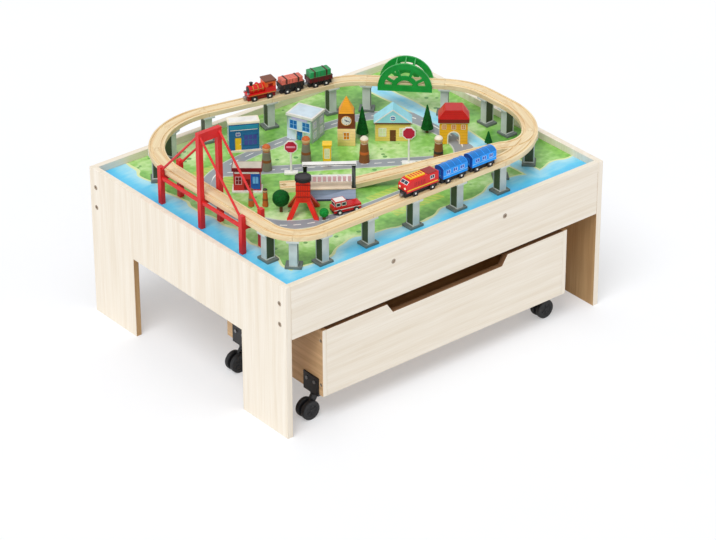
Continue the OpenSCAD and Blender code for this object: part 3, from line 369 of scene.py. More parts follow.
# Rolling drawer
# A box of the same pale board in front, with plain sides, back and bottom screwed to it.
# A slanted finger notch is sawn in the upper edge of its front.
drawer_wood = wood("drawer_wood", (236, 198, 150), (208, 168, 122), along=1, roughness=0.55)
back_wood = wood("drawer_back_wood", (214, 178, 134), (184, 146, 104), along=0, roughness=0.55)
front_edge_brown = wood("drawer_front_brown", (150, 112, 78), (118, 84, 56), along=0, roughness=0.65)
drawer_boards = (
    ("drawer_front", level_wood, "frame_wood"),
    ("drawer_back", back_wood, "inner_wood"),
    ("drawer_side_left", drawer_wood, "inner_wood"),
    ("drawer_side_right", drawer_wood, "inner_wood"),
    ("drawer_bottom", back_wood, "inner_wood"),
)
for node, finish, slot in drawer_boards:
    drawer_board = Piece(node + "_board")
    drawer_board.solid(node, finish, ease=1, least=10)
    if node == "drawer_front":
        # The upward edges of the front, the floor of its notch and its inner face are painted dark brown.
        drawer_board.paint(front_edge_brown, lambda middle, facing: facing.z > 0.5, low=150)
        drawer_board.paint(front_edge_brown, lambda middle, facing: facing.y > 0.9)
    if "side" in node:
        drawer_board.paint(upright_wood, lambda middle, facing: facing.y < -0.3)
    drawer_board.settle("drawer", slot, node)


# Casters
# Black moulded angle brackets riveted to the drawer, with swivelling forks and twin wheels.
# The wheels have a rounded tread and a dished hub with a cap on the axle.
def moulded(name, tone, roughness=0.42):
    tone = shade(*tone)
    finish = Finish(name, {"Specular IOR Level": 0.45})
    skin = finish.noise((900, 900, 900), 2)
    cloud = finish.noise((45, 45, 45), 2)
    lighter = [min(1, 1.25 * part + 0.004) for part in tone[:3]] + [1]
    finish.feed({
        "Base Color": finish.ramp(cloud, (0.3, tone), (0.75, lighter)),
        "Roughness": roughness + 0.2 * (skin - 0.5),
        "Normal": finish.relief(skin, 0.06, 0.0003),
    })
    return finish


def block(size, ease=0.6):
    """Block with rounded edges that stands on the middle of its foot."""
    form = bmesh.new()
    bmesh.ops.create_cube(form, size=1, matrix=Matrix.LocRotScale((0, 0, size[2] / 2), None, size))
    round_edges(form, ease)
    return form


def fit(piece, size, ease, finish, place=Matrix()):
    """Adds a block with rounded edges to a piece."""
    piece.add(block(size, ease), finish, place)


def at(x, y, z):
    return Matrix.Translation((x, y, z))


def spun(angle, axis="Z"):
    """Turn about an axis, in degrees."""
    return Matrix.Rotation(radians(angle), 4, axis)


caster_black = moulded("caster_plastic", (16, 16, 18))
tread_black = moulded("caster_tread", (24, 24, 26), 0.6)
rivet_steel = metal("rivet_steel", (150, 150, 152), 0.35)
brackets = Piece("caster_bracket_set")
brackets.solid("caster_brackets", caster_black)
brackets.paint(rivet_steel, lambda middle, facing: abs(middle.x) > 389.5)
brackets.settle("drawer", "caster_plastic", "caster_brackets")
trail, wheel_height = 26, 25
near, far = 4.6, 16.6
for number, (x, y) in enumerate(((-373, -343), (373, -343), (-373, -66), (373, -66)), 1):
    fork = Piece(f"caster_fork_{number}_moulding")
    fork.solid(f"caster_fork_{number}", caster_black, ease=0.8)
    fork.settle(f"caster_fork_{number}", "caster_plastic", f"caster_fork_{number}")
    wheels = Piece(f"caster_wheel_{number}_pair", at(x - trail, y, wheel_height))
    for side in (-1, 1):
        outward = pointing((0, 0, 0), (0, side, 0))
        tyre = turned([(3.95, near), (23, near), (24.6, near + 1.2), (25, near + 3), (25, far - 3.5),
                       (24.4, far - 1.2), (22.6, far - 0.2), (17, far), (15.5, far - 0.4), (14, far - 2),
                       (3.95, far - 2)], 48)
        wheels.add(tyre, tread_black, outward)
        cap = turned([(0, 0), (4, 0), (4, far - 1.6), (3.2, far - 0.8), (0, far - 0.6)], 24)
        wheels.add(cap, caster_black, outward)
        for spoke in range(6):
            fit(wheels, (1.6, 9, 1.2), 0.3, caster_black, outward @ spun(60 * spoke) @ at(0, 9, far - 2.2))
    wheels.settle(f"caster_wheel_{number}", "caster_tread", f"caster_wheel_{number}")


# Track
# Pale beech pieces with two milled grooves, joined by a round peg and socket.
# Curves are sawn from straight boards, so the grain of each piece runs along its chord.
def islands(form):
    """Groups of vertices that hang together."""
    left = set(form.verts)
    while left:
        group, waiting = set(), [left.pop()]
        while waiting:
            point = waiting.pop()
            group.add(point)
            near = [line.other_vert(point) for line in point.link_edges]
            waiting += [other for other in near if other in left]
            left.difference_update(near)
        yield list(group)


def lay_grain(thing):
    """Writes where each point lies along, across and above its own board."""
    form = bmesh.new()
    form.from_mesh(thing.data)
    grain = form.verts.layers.float_vector.new("grain")
    boards = sorted(islands(form), key=lambda points: min(tuple(point.co) for point in points))
    for count, group in enumerate(boards):
        middle = sum((point.co for point in group), Vector()) / len(group)
        spread = [point.co - middle for point in group]
        turn = 0.5 * atan2(2 * sum(s.x * s.y for s in spread), sum(s.x * s.x - s.y * s.y for s in spread))
        along = Vector((cos(turn), sin(turn), 0))
        across = Vector((-sin(turn), cos(turn), 0))
        for point, reach in zip(group, spread):
            point[grain] = (reach.dot(along) + count * 3.7, reach.dot(across) + count * 1.3, reach.z)
    form.to_mesh(thing.data)
    form.free()


beech = wood("track_beech", (243, 226, 186), (224, 192, 144), along=0, place="grain")
for node in ("loop_straights", "loop_curves", "branch_track"):
    track = Piece(node + "_beech")
    track.solid(node, beech, ease=0.6)
    lay_grain(track.settle("table", "track_beech", node))


# Risers
# Grey painted pillars with a foot and a cap, one under each joint of the track.
# A dark panel is let into the two broad faces of each pillar.
def painted(name, tone, roughness=0.36, boards=0):
    """Sprayed wood: an even colour with faint clouds and rubbed spots, scored in boards of this height."""
    tone = shade(*tone)
    finish = Finish(name, {"Specular IOR Level": 0.28, "Coat Weight": 0.06, "Coat Roughness": 0.25})
    cloud = finish.noise((38, 38, 38), 3)
    skin = finish.noise((700, 700, 700), 2)
    darker = [0.84 * part for part in tone[:3]] + [1]
    lighter = [part + 0.22 * (1 - part) for part in tone[:3]] + [1]
    even = finish.ramp(cloud, (0.3, darker), (0.62, tone))
    even = finish.blend((skin > 0.7) * (cloud > 0.56) * 0.4, even, lighter)
    height = skin + 2 * cloud
    if boards:
        level = finish.node("ShaderNodeSeparateXYZ", {}, {"Vector": finish.place}, out="Z")
        seam = ((level * 1000 - board_top) / boards % 1) < 0.11
        even = finish.blend(seam * 0.55, even, [0.55 * part for part in tone[:3]] + [1])
        height = height - 9 * seam
    finish.feed({
        "Base Color": even,
        "Roughness": roughness + 0.18 * (cloud - 0.5),
        "Normal": finish.relief(height, 0.05, 0.0003),
    })
    return finish


def extent(face, direction):
    reach = [point.co.dot(direction) for point in face.verts]
    return max(reach) - min(reach)


board_top, deck_top = 389, 477
up = Vector((0, 0, 1))
riser_grey = painted("riser_grey", (208, 215, 208), 0.5)
riser_dark = painted("riser_dark", (72, 84, 58), 0.6)
riser_foot = painted("riser_foot", (112, 122, 116), 0.55)
risers = Piece("track_riser_set")
risers.solid("track_risers", riser_grey, ease=0.8)
panels = [face for face in risers.mesh.faces if abs(face.normal.z) < 0.1 and extent(face, up) > 15
          and 22 < extent(face, face.normal.cross(up)) < 30]
bmesh.ops.inset_individual(risers.mesh, faces=panels, thickness=2.4, depth=-0.8)
for panel in panels:
    panel.material_index = risers.number(riser_dark)
# The feet are painted a darker grey all over, as painted shade at the foot of the pillars.
risers.paint(riser_foot, high=board_top + 6.2)
risers.settle("table", "riser_grey", "track_risers")


# Red bridge
# A middle tower, two end frames and side girders of red painted wood that carry the track.
# Round red stays run from the head of the tower down to the end frames.
bridge_red = painted("bridge_red", (222, 40, 42))
for node in ("bridge_frames", "bridge_stays"):
    bridge = Piece(node + "_wood")
    bridge.solid(node, bridge_red, ease=1)
    bridge.settle("table", "bridge_red", node)


# Arch bridge
# Two green fretted sides that clasp the track, with round ties over the top.
# Each side is moulded in one piece, with a raised rim and spokes.
def prism(outline, depth, ease=0.3):
    """Outline in x and z that is depth thick, half of it on each side of y = 0."""
    form = bmesh.new()
    face = form.faces.new([form.verts.new((x, -depth / 2, z)) for x, z in outline])
    far = bmesh.ops.extrude_face_region(form, geom=[face])["geom"]
    bmesh.ops.translate(form, verts=[part for part in far if isinstance(part, bmesh.types.BMVert)],
                        vec=(0, depth, 0))
    bmesh.ops.recalc_face_normals(form, faces=form.faces)
    round_edges(form, ease)
    return form


def in_town(x, y, turn, depth=0):
    """Place of a town piece whose face has its foot at a point of the board, about its middle."""
    return at(x, y, board_top) @ spun(turn) @ at(0, depth / 2, 0)


arch_green = moulded("arch_green", (16, 148, 56), 0.34)
arch = Piece("arch_bridge_moulding", in_town(317.54, 153.36, 134.2))
arch.solid("arch_bridge", arch_green, ease=0.7)
bead = [(out * cos(radians(tilt)), out * sin(radians(tilt)))
        for out, tilts in ((69, range(0, 181, 6)), (66, range(180, -1, -6))) for tilt in tilts]
for side in (-1, 1):
    arch.add(prism(bead, 1.2, 0.4), arch_green, at(0, 25.2 * side, 76))
    fit(arch, (138, 1.2, 3), 0.4, arch_green, at(0, 25.2 * side, 68))
arch.settle("table", "arch_green", "arch_bridge")


# Box engine
# A red painted block with a sloping nose and a yellow hood, on a black underframe.
# Lamps, louvres and stripes are thin pieces glued on, and steel magnets couple the wagons.
def on_track(x, y, turn):
    """Place of a wagon: its front towards +X, and the track's top at z = 0."""
    return at(x, y, deck_top) @ spun(turn)


def on_wall(turn, along, out, height):
    """Place on a wall that faces -Y, after a turn about the middle of the piece."""
    return spun(turn) @ at(along, -out, height)


def window(piece, glass, trim, width, height, place, uprights=1, levels=1):
    """Pane in a raised frame with glazing bars; its place is the middle of its sill."""
    edge, stand = 0.05 * width + 0.7, 1.4
    fit(piece, (width, 0.8, height), 0.2, glass, place)
    for side in (-1, 1):
        fit(piece, (edge, stand, height + edge), 0.25, trim, place @ at(side * width / 2, 0, -edge / 2))
        level = height * (side + 1) / 2 - edge / 2
        fit(piece, (width + edge, stand, edge), 0.25, trim, place @ at(0, 0, level))
    for bar in range(uprights):
        along = width * ((bar + 1) / (uprights + 1) - 0.5)
        fit(piece, (0.7 * edge, 0.8 * stand, height), 0.2, trim, place @ at(along, 0, 0))
    for bar in range(levels):
        sill = height * (bar + 1) / (levels + 1) - 0.35 * edge
        fit(piece, (width, 0.8 * stand, 0.7 * edge), 0.2, trim, place @ at(0, 0, sill))


def wagon(node, place, finish, half):
    """A wagon's own solid, with its underframe and magnets in their colours."""
    piece = Piece(node + "_body", place)
    piece.solid(node, finish, ease=0.8)
    piece.cut(car_floor)
    piece.paint(underframe_black, high=car_floor)
    piece.paint(magnet_steel, lambda middle, facing: abs(middle.x) > half + 0.5, high=14)
    return piece


car_floor, side_wall = 14.7, 16
front_spots = [on_track(x, -321, 180) for x in (-41, 61, 152)]
underframe_black = painted("underframe_black", (34, 32, 34), 0.5)
magnet_steel = metal("magnet_steel", (176, 176, 178), 0.3)
engine_red = painted("engine_red", (222, 36, 34), 0.3)
deep_red = painted("deep_red", (150, 22, 24), 0.34)
signal_yellow = painted("signal_yellow", (252, 206, 40), 0.3)
trim_white = painted("trim_white", (244, 242, 236))
dark_glass = moulded("dark_glass", (38, 52, 70), 0.16)
lamp_cream = moulded("lamp_cream", (250, 240, 206), 0.2)
engine = wagon("front_engine", front_spots[0], engine_red, 49)
engine.paint(signal_yellow, low=44.7)
for x in (-5, 3, 11, 19, 27):
    fit(engine, (4, 15, 0.7), 0.25, engine_red, at(x, 0, 48.2))
fit(engine, (28, 30, 1.3), 0.5, deep_red, at(-31, 0, 44.2))
nose = pointing((42, 0, 38.3), (0.651, 0, 0.759))
fit(engine, (25, 10, 0.9), 0.3, trim_white, nose)
for side in (-1, 1):
    fit(engine, (10.5, 7.6, 0.9), 0.3, dark_glass, nose @ at(5.9 * side, 0, 0.3))
    lamp = turned([(0, 0), (3, 0), (3, 0.9), (2.5, 1.3), (2.2, 0.9), (0, 1.2)], 20)
    engine.add(lamp, lamp_cream, pointing((48.8, 9.5 * side, 26), (1, 0, 0)))
    wall = 0 if side < 0 else 180
    window(engine, dark_glass, trim_white, 13, 9, on_wall(wall, 30 * side, side_wall - 1, 29.8), 1, 0)
    fit(engine, (94, 1, 2.6), 0.3, signal_yellow, on_wall(wall, 0, side_wall, 19.5))
    for step in range(7):
        louvre = on_wall(wall, side * (6 - 5 * step), side_wall - 0.2, 27)
        fit(engine, (1.4, 1.2, 10), 0.3, deep_red, louvre)
fit(engine, (1.6, 31, 3.6), 0.5, underframe_black, at(49.2, 0, 15.4))
for height in (20.5, 22.5):
    fit(engine, (0.8, 12, 1), 0.2, deep_red, at(49.1, 0, height))
engine.settle("front_engine", "engine_red", "front_engine")


# Coaches
# Two bright blue coaches with rounded roofs, three windows in each side and a door in each end.
# Ribs over the roof and a pale waistline are thin pieces glued on.
coach_blue = painted("coach_blue", (34, 156, 252), 0.3)
door_and_roof_shade_blue = painted("door_and_roof_shade_blue", (26, 122, 204), 0.24)
end_shade_blue = painted("end_shade_blue", (18, 72, 156), 0.3)
pale_blue = painted("pale_blue", (150, 208, 250), 0.3)
window_pale = painted("window_pale", (212, 234, 252), 0.3)
blue_glass = moulded("blue_glass", (14, 84, 186), 0.16)
roof_radius, eave, end_wall = 22, 39.3, 38
roof_middle = eave - sqrt(roof_radius ** 2 - side_wall ** 2)
over, under = (roof_radius + 0.5, range(-44, 45, 4)), (roof_radius - 1, range(44, -45, -4))
roof_arc = [(out * sin(radians(tilt)), roof_middle + out * cos(radians(tilt)))
            for out, tilts in (over, under) for tilt in tilts]
for node, spot in zip(("front_second", "front_third"), front_spots[1:]):
    coach = wagon(node, spot, coach_blue, end_wall)
    # The end faces are painted dark blue as painted shade, for the shaded ends and the gaps between the
    # coaches.
    coach.paint(end_shade_blue, lambda middle, facing: abs(facing.x) > 0.9 and abs(middle.x) > end_wall - 1,
                low=car_floor + 0.1)
    # The roof is painted a darker blue as painted shade on its far side; the same blue is the end doors' own
    # paint.
    coach.paint(door_and_roof_shade_blue, lambda middle, facing: facing.z > 0.3, low=eave - 0.4)
    for along in (-36.5, -18.2, 0, 18.2, 36.5):
        coach.add(prism(roof_arc, 1.6), coach_blue, at(along, 0, 0) @ spun(90))
    for wall in (0, 180):
        for along in (-21.3, 0, 21.3):
            window(coach, blue_glass, window_pale, 12, 9, on_wall(wall, along, side_wall - 1, 25.8), 1, 0)
        fit(coach, (75, 0.9, 1.5), 0.25, pale_blue, on_wall(wall, 0, side_wall, 21.5))
    for wall in (90, -90):
        fit(coach, (12, 1, 20), 0.3, door_and_roof_shade_blue, on_wall(wall, 0, end_wall, 16))
        fit(coach, (7, 1.3, 7), 0.2, blue_glass, on_wall(wall, 0, end_wall, 26))
        knob = turned([(0, 0), (0.9, 0), (0.9, 0.8), (0, 1.2)], 20)
        coach.add(knob, pale_blue, on_wall(wall, 4.4, end_wall + 0.4, 22) @ spun(90, "X"))
    coach.settle(node, "coach_blue", node)


# Steam engine
# A red boiler with a chimney and a dome on a footplate, and a red and orange cab with a brown roof.
# Brass bands hold the boiler, and two buffers stand on the front of the footplate.
brass = metal("brass", (222, 170, 84), 0.3)
cab_orange = painted("cab_orange", (240, 104, 40), 0.3)
roof_brown = painted("roof_brown", (118, 62, 36), 0.4)
smoke_black = painted("smoke_black", (40, 36, 38), 0.5)
back_spots = [on_track(x, y, 168) for x, y in ((-26.738, 310.608), (56.404, 292.936), (133.678, 276.511))]
steam = wagon("back_engine", back_spots[0], engine_red, 38)
boiler, cab_waist, cab_top = 28.3, 32, 46
steam.cut(cab_waist)
steam.paint(deep_red, lambda middle, facing: abs(middle.x) < 38.4, high=car_floor)
steam.paint(cab_orange, lambda middle, facing: middle.x < -8.8, cab_waist, cab_top)
steam.paint(roof_brown, lambda middle, facing: middle.x < -7, low=cab_top)
steam.paint(smoke_black, lambda middle, facing: middle.x > 19, low=39.6)
for x in (-4, 9, 22):
    hoop = turned([(10.8, -0.9), (11.3, -0.9), (11.3, 0.9), (10.8, 0.9), (10.8, -0.9)], 40)
    steam.add(hoop, brass, pointing((x, 0, boiler), (1, 0, 0)))
boiler_door = turned([(0, 0), (9, 0), (9, 0.8), (8.2, 1.2), (2.4, 1.5), (2, 2.2), (0, 2.4)])
steam.add(boiler_door, smoke_black, pointing((33, 0, boiler), (1, 0, 0)))
chimney_rim = turned([(3.8, 44), (4.5, 44.4), (4.9, 45.6), (4.9, 46.8), (4.4, 47.4), (3, 47.4), (3, 45),
                      (0, 45)], 24)
steam.add(chimney_rim, smoke_black, at(24, 0, 0))
steam.add(turned([(4.9, 39), (5.3, 39.4), (5.3, 40.4), (4.9, 40.8), (4.9, 39)], 24), brass, at(9, 0, 0))
for side in (-1, 1):
    buffer = turned([(0, 0), (1.4, 0), (1.4, 3.6), (2.9, 4), (2.9, 4.8), (2.2, 5.2), (0, 5.4)], 20)
    steam.add(buffer, magnet_steel, pointing((33.4, 10 * side, 21.6), (1, 0, 0)))
    fit(steam, (72, 0.9, 1.6), 0.3, brass, on_wall(0 if side < 0 else 180, 0, side_wall, 16.2))
    rail = turned([(0, 0), (0.6, 0), (0.6, 38), (0, 38)], 20)
    steam.add(rail, brass, pointing((-7, 11.4 * side, 30), (1, 0, 0)))
steam.settle("back_engine", "engine_red", "back_engine")


# Goods wagons
# Low tubs with side stakes: a black one with a salmon load and a maroon one with a green load.
# Two straps and plank joints lie over each load.
wagon_salmon = painted("wagon_salmon", (236, 120, 100))
wagon_green = painted("wagon_green", (40, 160, 90))
tub_red = painted("tub_red", (104, 26, 32), 0.45)
strap_dark = painted("strap_dark", (70, 44, 36), 0.6)
tub_top = 27.2
goods = (
    ("back_second", back_spots[1], wagon_salmon, "wagon_salmon", underframe_black, 39.3),
    ("back_third", back_spots[2], wagon_green, "wagon_green", tub_red, 42.3),
)
for node, spot, load, slot, tub, top in goods:
    truck = wagon(node, spot, load, 32)
    truck.cut(tub_top)
    truck.paint(tub, low=car_floor, high=tub_top + 0.2)
    for wall, out, length in ((0, side_wall, 64), (180, side_wall, 64), (90, 32, 32), (-90, 32, 32)):
        fit(truck, (length, 1.2, 2), 0.3, strap_dark, on_wall(wall, 0, out - 0.1, 25.2))
        stakes = (-24, -8, 8, 24) if length > 40 else (-10, 10)
        for along in stakes:
            fit(truck, (2.6, 1.2, 10.4), 0.3, strap_dark, on_wall(wall, along, out - 0.1, 15))
        seams = 6 if length > 40 else 3
        for seam in range(1, seams):
            along = (length - 6) * (seam / seams - 0.5)
            fit(truck, (0.8, 0.5, top - 28.6), 0.1, strap_dark, on_wall(wall, along, out - 3, 27.6))
    for x in (-16, 16):
        fit(truck, (4, 26.8, 0.8), 0.3, strap_dark, at(x, 0, top - 0.2))
        for wall in (0, 180):
            fit(truck, (4, 0.8, top - 26.8), 0.3, strap_dark, on_wall(wall, x, 13, 27))
    for y in (-6.5, 0, 6.5):
        fit(truck, (57, 0.7, 0.4), 0.1, strap_dark, at(0, y, top - 0.2))
    truck.settle(node, slot, node)


# Wheelsets
# Black moulded wheels with a raised rim, five spokes and a pale hub, pressed on a steel axle.
# They run in the grooves of the track.
wheel_black = moulded("train_wheel_black", (36, 34, 36), 0.4)
carriers = (("front_engine", 20, -32), ("front_second", 21, -21), ("front_third", 21, -21),
            ("back_engine", 21, -21), ("back_second", 15, -15), ("back_third", 15, -15))
for (carrier, front, rear), place in zip(carriers, front_spots + back_spots):
    for end, x in (("front", front), ("rear", rear)):
        name = f"{carrier}_{end}_axle"
        pair = Piece(name + "_wheels", place @ at(x, 0, 5.8))
        axle = turned([(0, -13), (2, -13), (2, 13), (0, 13)], 20)
        pair.add(axle, magnet_steel, pointing((0, 0, 0), (0, 1, 0)))
        for side in (-1, 1):
            outward = pointing((0, 0, 0), (0, side, 0))
            rim = turned([(1.9, 11), (7.9, 11), (8.5, 11.5), (8.5, 14.4), (8, 15), (6.7, 15), (6.2, 13.8),
                          (1.9, 13.8)])
            pair.add(rim, wheel_black, outward)
            hub = turned([(0, 13), (2.7, 13.4), (2.7, 14.8), (2.2, 15.1), (0, 15.2)], 20)
            pair.add(hub, trim_white, outward)
            for spoke in range(5):
                turn = spun(72 * spoke)
                fit(pair, (1.5, 4.4, 1), 0.25, wheel_black, outward @ turn @ at(0, 4.4, 13.6))
        pair.settle(name, "train_wheel", name)


# Shop
# A blue painted block with a flat cream roof on a cream base.
# A yellow door and a wide window are in its front, under a teal board.
def door(piece, leaf, trim, width, height, place):
    """Panelled leaf with a knob; its place is the middle of its foot."""
    fit(piece, (width, 1, height), 0.2, leaf, place)
    for low, part in ((0.08, 0.36), (0.52, 0.4)):
        fit(piece, (0.66 * width, 1.6, part * height), 0.3, leaf, place @ at(0, 0, low * height))
    knob = turned([(0, 0), (0.7, 0), (1.1, 0.8), (0.8, 1.5), (0, 1.7)], 20)
    piece.add(knob, trim, place @ at(0.36 * width, -0.4, 0.46 * height) @ spun(90, "X"))


cream = painted("cream", (248, 238, 214))
shop_blue = painted("shop_blue", (38, 108, 158), boards=9)
shop_teal = painted("shop_teal", (46, 150, 180))
shop_side = painted("shop_side", (160, 196, 200), boards=9)
night_glass = moulded("night_glass", (62, 68, 150), 0.16)
shop = Piece("shop_block", in_town(-136, 234, -29, 36))
shop.solid("shop", shop_blue)
base_top, roof_foot, long_wall, end_wall = 6.3, 77.7, 16, 38
shop.paint(shop_side, lambda middle, facing: abs(facing.x) > 0.9, base_top + 0.2, roof_foot - 0.2)
shop.paint(cream, high=base_top)
shop.paint(cream, low=roof_foot)
door(shop, signal_yellow, trim_white, 15.6, 33.6, on_wall(0, -15, 14, 6.2))
window(shop, night_glass, shop_blue, 34, 30, on_wall(0, 16, long_wall, 18), 2, 1)
for wall in (0, 180):
    fit(shop, (72, 2, 11), 0.5, shop_teal, on_wall(wall, 0, long_wall, 63))
    fit(shop, (68, 2.6, 1.2), 0.3, trim_white, on_wall(wall, 0, long_wall, 61))
    window(shop, night_glass, trim_white, 10, 8, on_wall(wall, 0 if wall else -15, long_wall, 46), 1, 0)
for along in (-22, 22):
    window(shop, night_glass, trim_white, 18, 26, on_wall(180, along, long_wall, 22))
for wall in (90, -90):
    window(shop, night_glass, trim_white, 14, 26, on_wall(wall, 0, end_wall, 30))
fit(shop, (70, 24, 1.2), 0.5, trim_white, at(0, 0, 82.4))
shop.settle("table", "shop_blue", "shop")


# Gate building
# A broad pale block with a cornice, two blue windows and a gateway with double doors.
# A lilac board is fixed above the windows.
gate_pale = painted("gate_pale", (214, 232, 242))
gate_grey = painted("gate_grey", (188, 196, 208), boards=12)
gate_lilac = painted("gate_lilac", (206, 200, 244))
day_glass = moulded("day_glass", (24, 104, 178), 0.16)
gate = Piece("gate_building_block", in_town(8, 196, -68, 62))
gate.solid("gate_building", gate_pale)
roof_foot, long_wall, end_wall = 63.8, 31, 36
gate.paint(gate_grey, lambda middle, facing: abs(facing.x) > 0.9 and abs(middle.x) > end_wall - 0.5)
gate.paint(trim_white, low=roof_foot)
for wall in (0, 180):
    for along in (-18, 18):
        pane = on_wall(wall, along, long_wall if wall else long_wall - 1, 29.5)
        window(gate, day_glass, pale_blue, 21, 24, pane)
        fit(gate, (25, 2.4, 2), 0.4, trim_white, on_wall(wall, along, long_wall, 26.8))
    fit(gate, (44, 1.6, 7), 0.5, gate_lilac, on_wall(wall, 0, long_wall, 55.6))
for side in (-1, 1):
    fit(gate, (8.8, 1.2, 25.6), 0.4, day_glass, on_wall(0, 4.5 * side, 27.2, 0.2))
    fit(gate, (6, 1.8, 9), 0.4, shop_teal, on_wall(0, 4.5 * side, 27.2, 3))
    fit(gate, (2.2, 1.6, 28), 0.4, trim_white, on_wall(0, 10 * side, long_wall, 0.2))
    for along in (-16, 16):
        for height in (10, 37):
            window(gate, gate_lilac, trim_white, 14, 18, on_wall(90 * side, along, end_wall, height))
fit(gate, (22.4, 1.6, 2.2), 0.4, trim_white, on_wall(0, 0, long_wall, 26))
fit(gate, (66, 56, 1), 0.4, gate_pale, at(0, 0, 69.4))
gate.settle("table", "gate_pale_blue", "gate_building")


# Clock tower
# A cream base with an orange window, a brown belfry with a white dial and a golden pyramid roof.
# The dial has twelve marks and two hands.
clock_cream = painted("clock_cream", (246, 214, 138), boards=8)
clock_brown = painted("clock_brown", (128, 66, 34))
clock_gold = painted("clock_gold", (246, 168, 34), boards=5)
clock_orange = painted("clock_orange", (228, 132, 14))
dial_ink = painted("dial_ink", (52, 56, 110))
clock = Piece("clock_tower_block", in_town(80, 99, -40, 36))
clock.solid("clock_tower", clock_cream, ease=0.5)
belfry_foot, roof_foot = 50.2, 89.8
clock.paint(clock_brown, low=belfry_foot)
clock.paint(clock_gold, low=roof_foot)
clock.paint(trim_white, lambda middle, facing: middle.y < -16.1, low=belfry_foot + 1.8)
dial = on_wall(0, 0, 17.5, 70) @ spun(90, "X")
dial_rim = turned([(12.2, -0.6), (13.4, -0.6), (13.4, 0.4), (12.8, 0.8), (12.2, 0.4), (12.2, -0.6)], 40)
clock.add(dial_rim, clock_gold, dial)
for hour in range(12):
    mark = (1.2, 2.6, 0.6) if hour % 3 == 0 else (0.7, 1.8, 0.6)
    fit(clock, mark, 0.1, dial_ink, dial @ spun(30 * hour) @ at(0, 10.2, -0.2))
for turn, hand in ((51.566, (1.6, 6, 0.7)), (-108.862, (1.2, 9, 0.7))):
    fit(clock, hand, 0.2, dial_ink, dial @ spun(turn) @ at(0, hand[1] / 2, 0.1))
clock.add(turned([(0, 0), (1.6, 0), (1.6, 1), (0, 1.3)], 20), dial_ink, dial)
for wall, out in ((90, 20), (180, 16), (-90, 20)):
    fit(clock, (16, 1, 22), 0.3, deep_red, on_wall(wall, 0, out, 58))
    for slat in range(5):
        fit(clock, (14, 1.8, 2.2), 0.4, clock_brown, on_wall(wall, 0, out, 59.5 + 4 * slat))
for wall, out in ((0, 18), (90, 22), (180, 18), (-90, 22)):
    window(clock, clock_orange, cream, 15, 20, on_wall(wall, 0, out, 18))
for size, height in (((45, 37, 2.4), 48.4), ((41, 33, 2), 88.4)):
    fit(clock, size, 0.6, clock_brown, at(0, 0, height))
clock.settle("table", "clock_gold", "clock_tower")


# House
# Yellow boarded walls under a pale blue gable roof with a brown board along its eaves.
# A round window is in the gable, and the roof is laid in courses.
house_yellow = painted("house_yellow", (246, 214, 110), boards=7)
house_brown = painted("house_brown", (112, 62, 30))
house_roof = painted("house_roof", (158, 226, 240), 0.4)
pane_green = moulded("pane_green", (206, 214, 168), 0.2)
eaves, roof_rise, half_roof = 53, 37, 48
long_wall, end_wall, gable, round_window = 18, 44, 22, 66
slope = atan2(roof_rise, half_roof)
house = Piece("house_block", in_town(186, 46, -40, 36))
house.solid("house", house_yellow)
house.cut(eaves)
house.paint(house_brown, low=48.2, high=eaves)
house.paint(house_roof, low=eaves - 0.001)
house.paint(day_glass, lambda middle, facing: middle.y < -gable - 0.2, round_window - 7, round_window + 7)
for side in (-1, 1):
    for course in range(8):
        share = (course + 0.55) / 8
        lie = at(side * half_roof * (1 - share), 0, eaves + roof_rise * share)
        lie = lie @ Matrix.Rotation(side * (slope + 0.05), 4, "Y")
        fit(house, (8, 43.6, 1.3), 0.4, house_roof, lie @ at(0, 0, -0.6))
    for wall in (0, 180):
        verge = at(side * half_roof / 2, 0, eaves + roof_rise / 2) @ Matrix.Rotation(side * slope, 4, "Y")
        fit(house, (59.5, 1.4, 3), 0.4, trim_white, verge @ at(0, gable if wall else -gable, -2.8))
        window(house, pane_green, trim_white, 18, 22, on_wall(wall, 26 * side, long_wall, 14))
    window(house, pane_green, trim_white, 16, 22, on_wall(90 * side, 0, end_wall, 14))
ring = turned([(5.6, -0.6), (7.2, -0.6), (7.2, 0.7), (6.4, 1.2), (5.6, 0.7), (5.6, -0.6)], 32)
house.add(ring, trim_white, on_wall(0, 0, gable + 0.6, round_window) @ spun(90, "X"))
for size in ((11.4, 1.4, 0.9), (0.9, 1.4, 11.4)):
    fit(house, size, 0.2, trim_white, on_wall(0, 0, gable + 1, round_window - size[2] / 2))
door(house, house_brown, brass, 15, 31, on_wall(0, 0, long_wall, 0.2))
house.settle("table", "house_yellow", "house")


# Archway building
# Orange walls with a round-headed way right through, under a red hipped roof with a dark band.
# A pale moulding runs round the mouth of the way at the front and the back.
arch_orange = painted("arch_orange", (250, 184, 36), boards=8)
arch_roof = painted("arch_roof", (218, 34, 32), 0.4, boards=6)
arch_band = painted("arch_band", (136, 34, 26))
gatehouse = Piece("arch_house_block", in_town(292, -63, -40, 36))
gatehouse.solid("arch_house", arch_orange)
roof_foot, band_top, long_wall, end_wall = 60.2, 72.6, 18, 35
gatehouse.paint(arch_roof, low=roof_foot)
gatehouse.cut(band_top)
gatehouse.paint(arch_band, low=roof_foot, high=band_top)
outer, inner, foot, spring = 16, 13.1, 0.2, 20
over = [(outer * cos(radians(tilt)), spring + outer * sin(radians(tilt))) for tilt in range(0, 181, 9)]
under = [(inner * cos(radians(tilt)), spring + inner * sin(radians(tilt))) for tilt in range(180, -1, -9)]
mouth = over + [(-outer, foot), (-inner, foot)] + under + [(inner, foot), (outer, foot)]
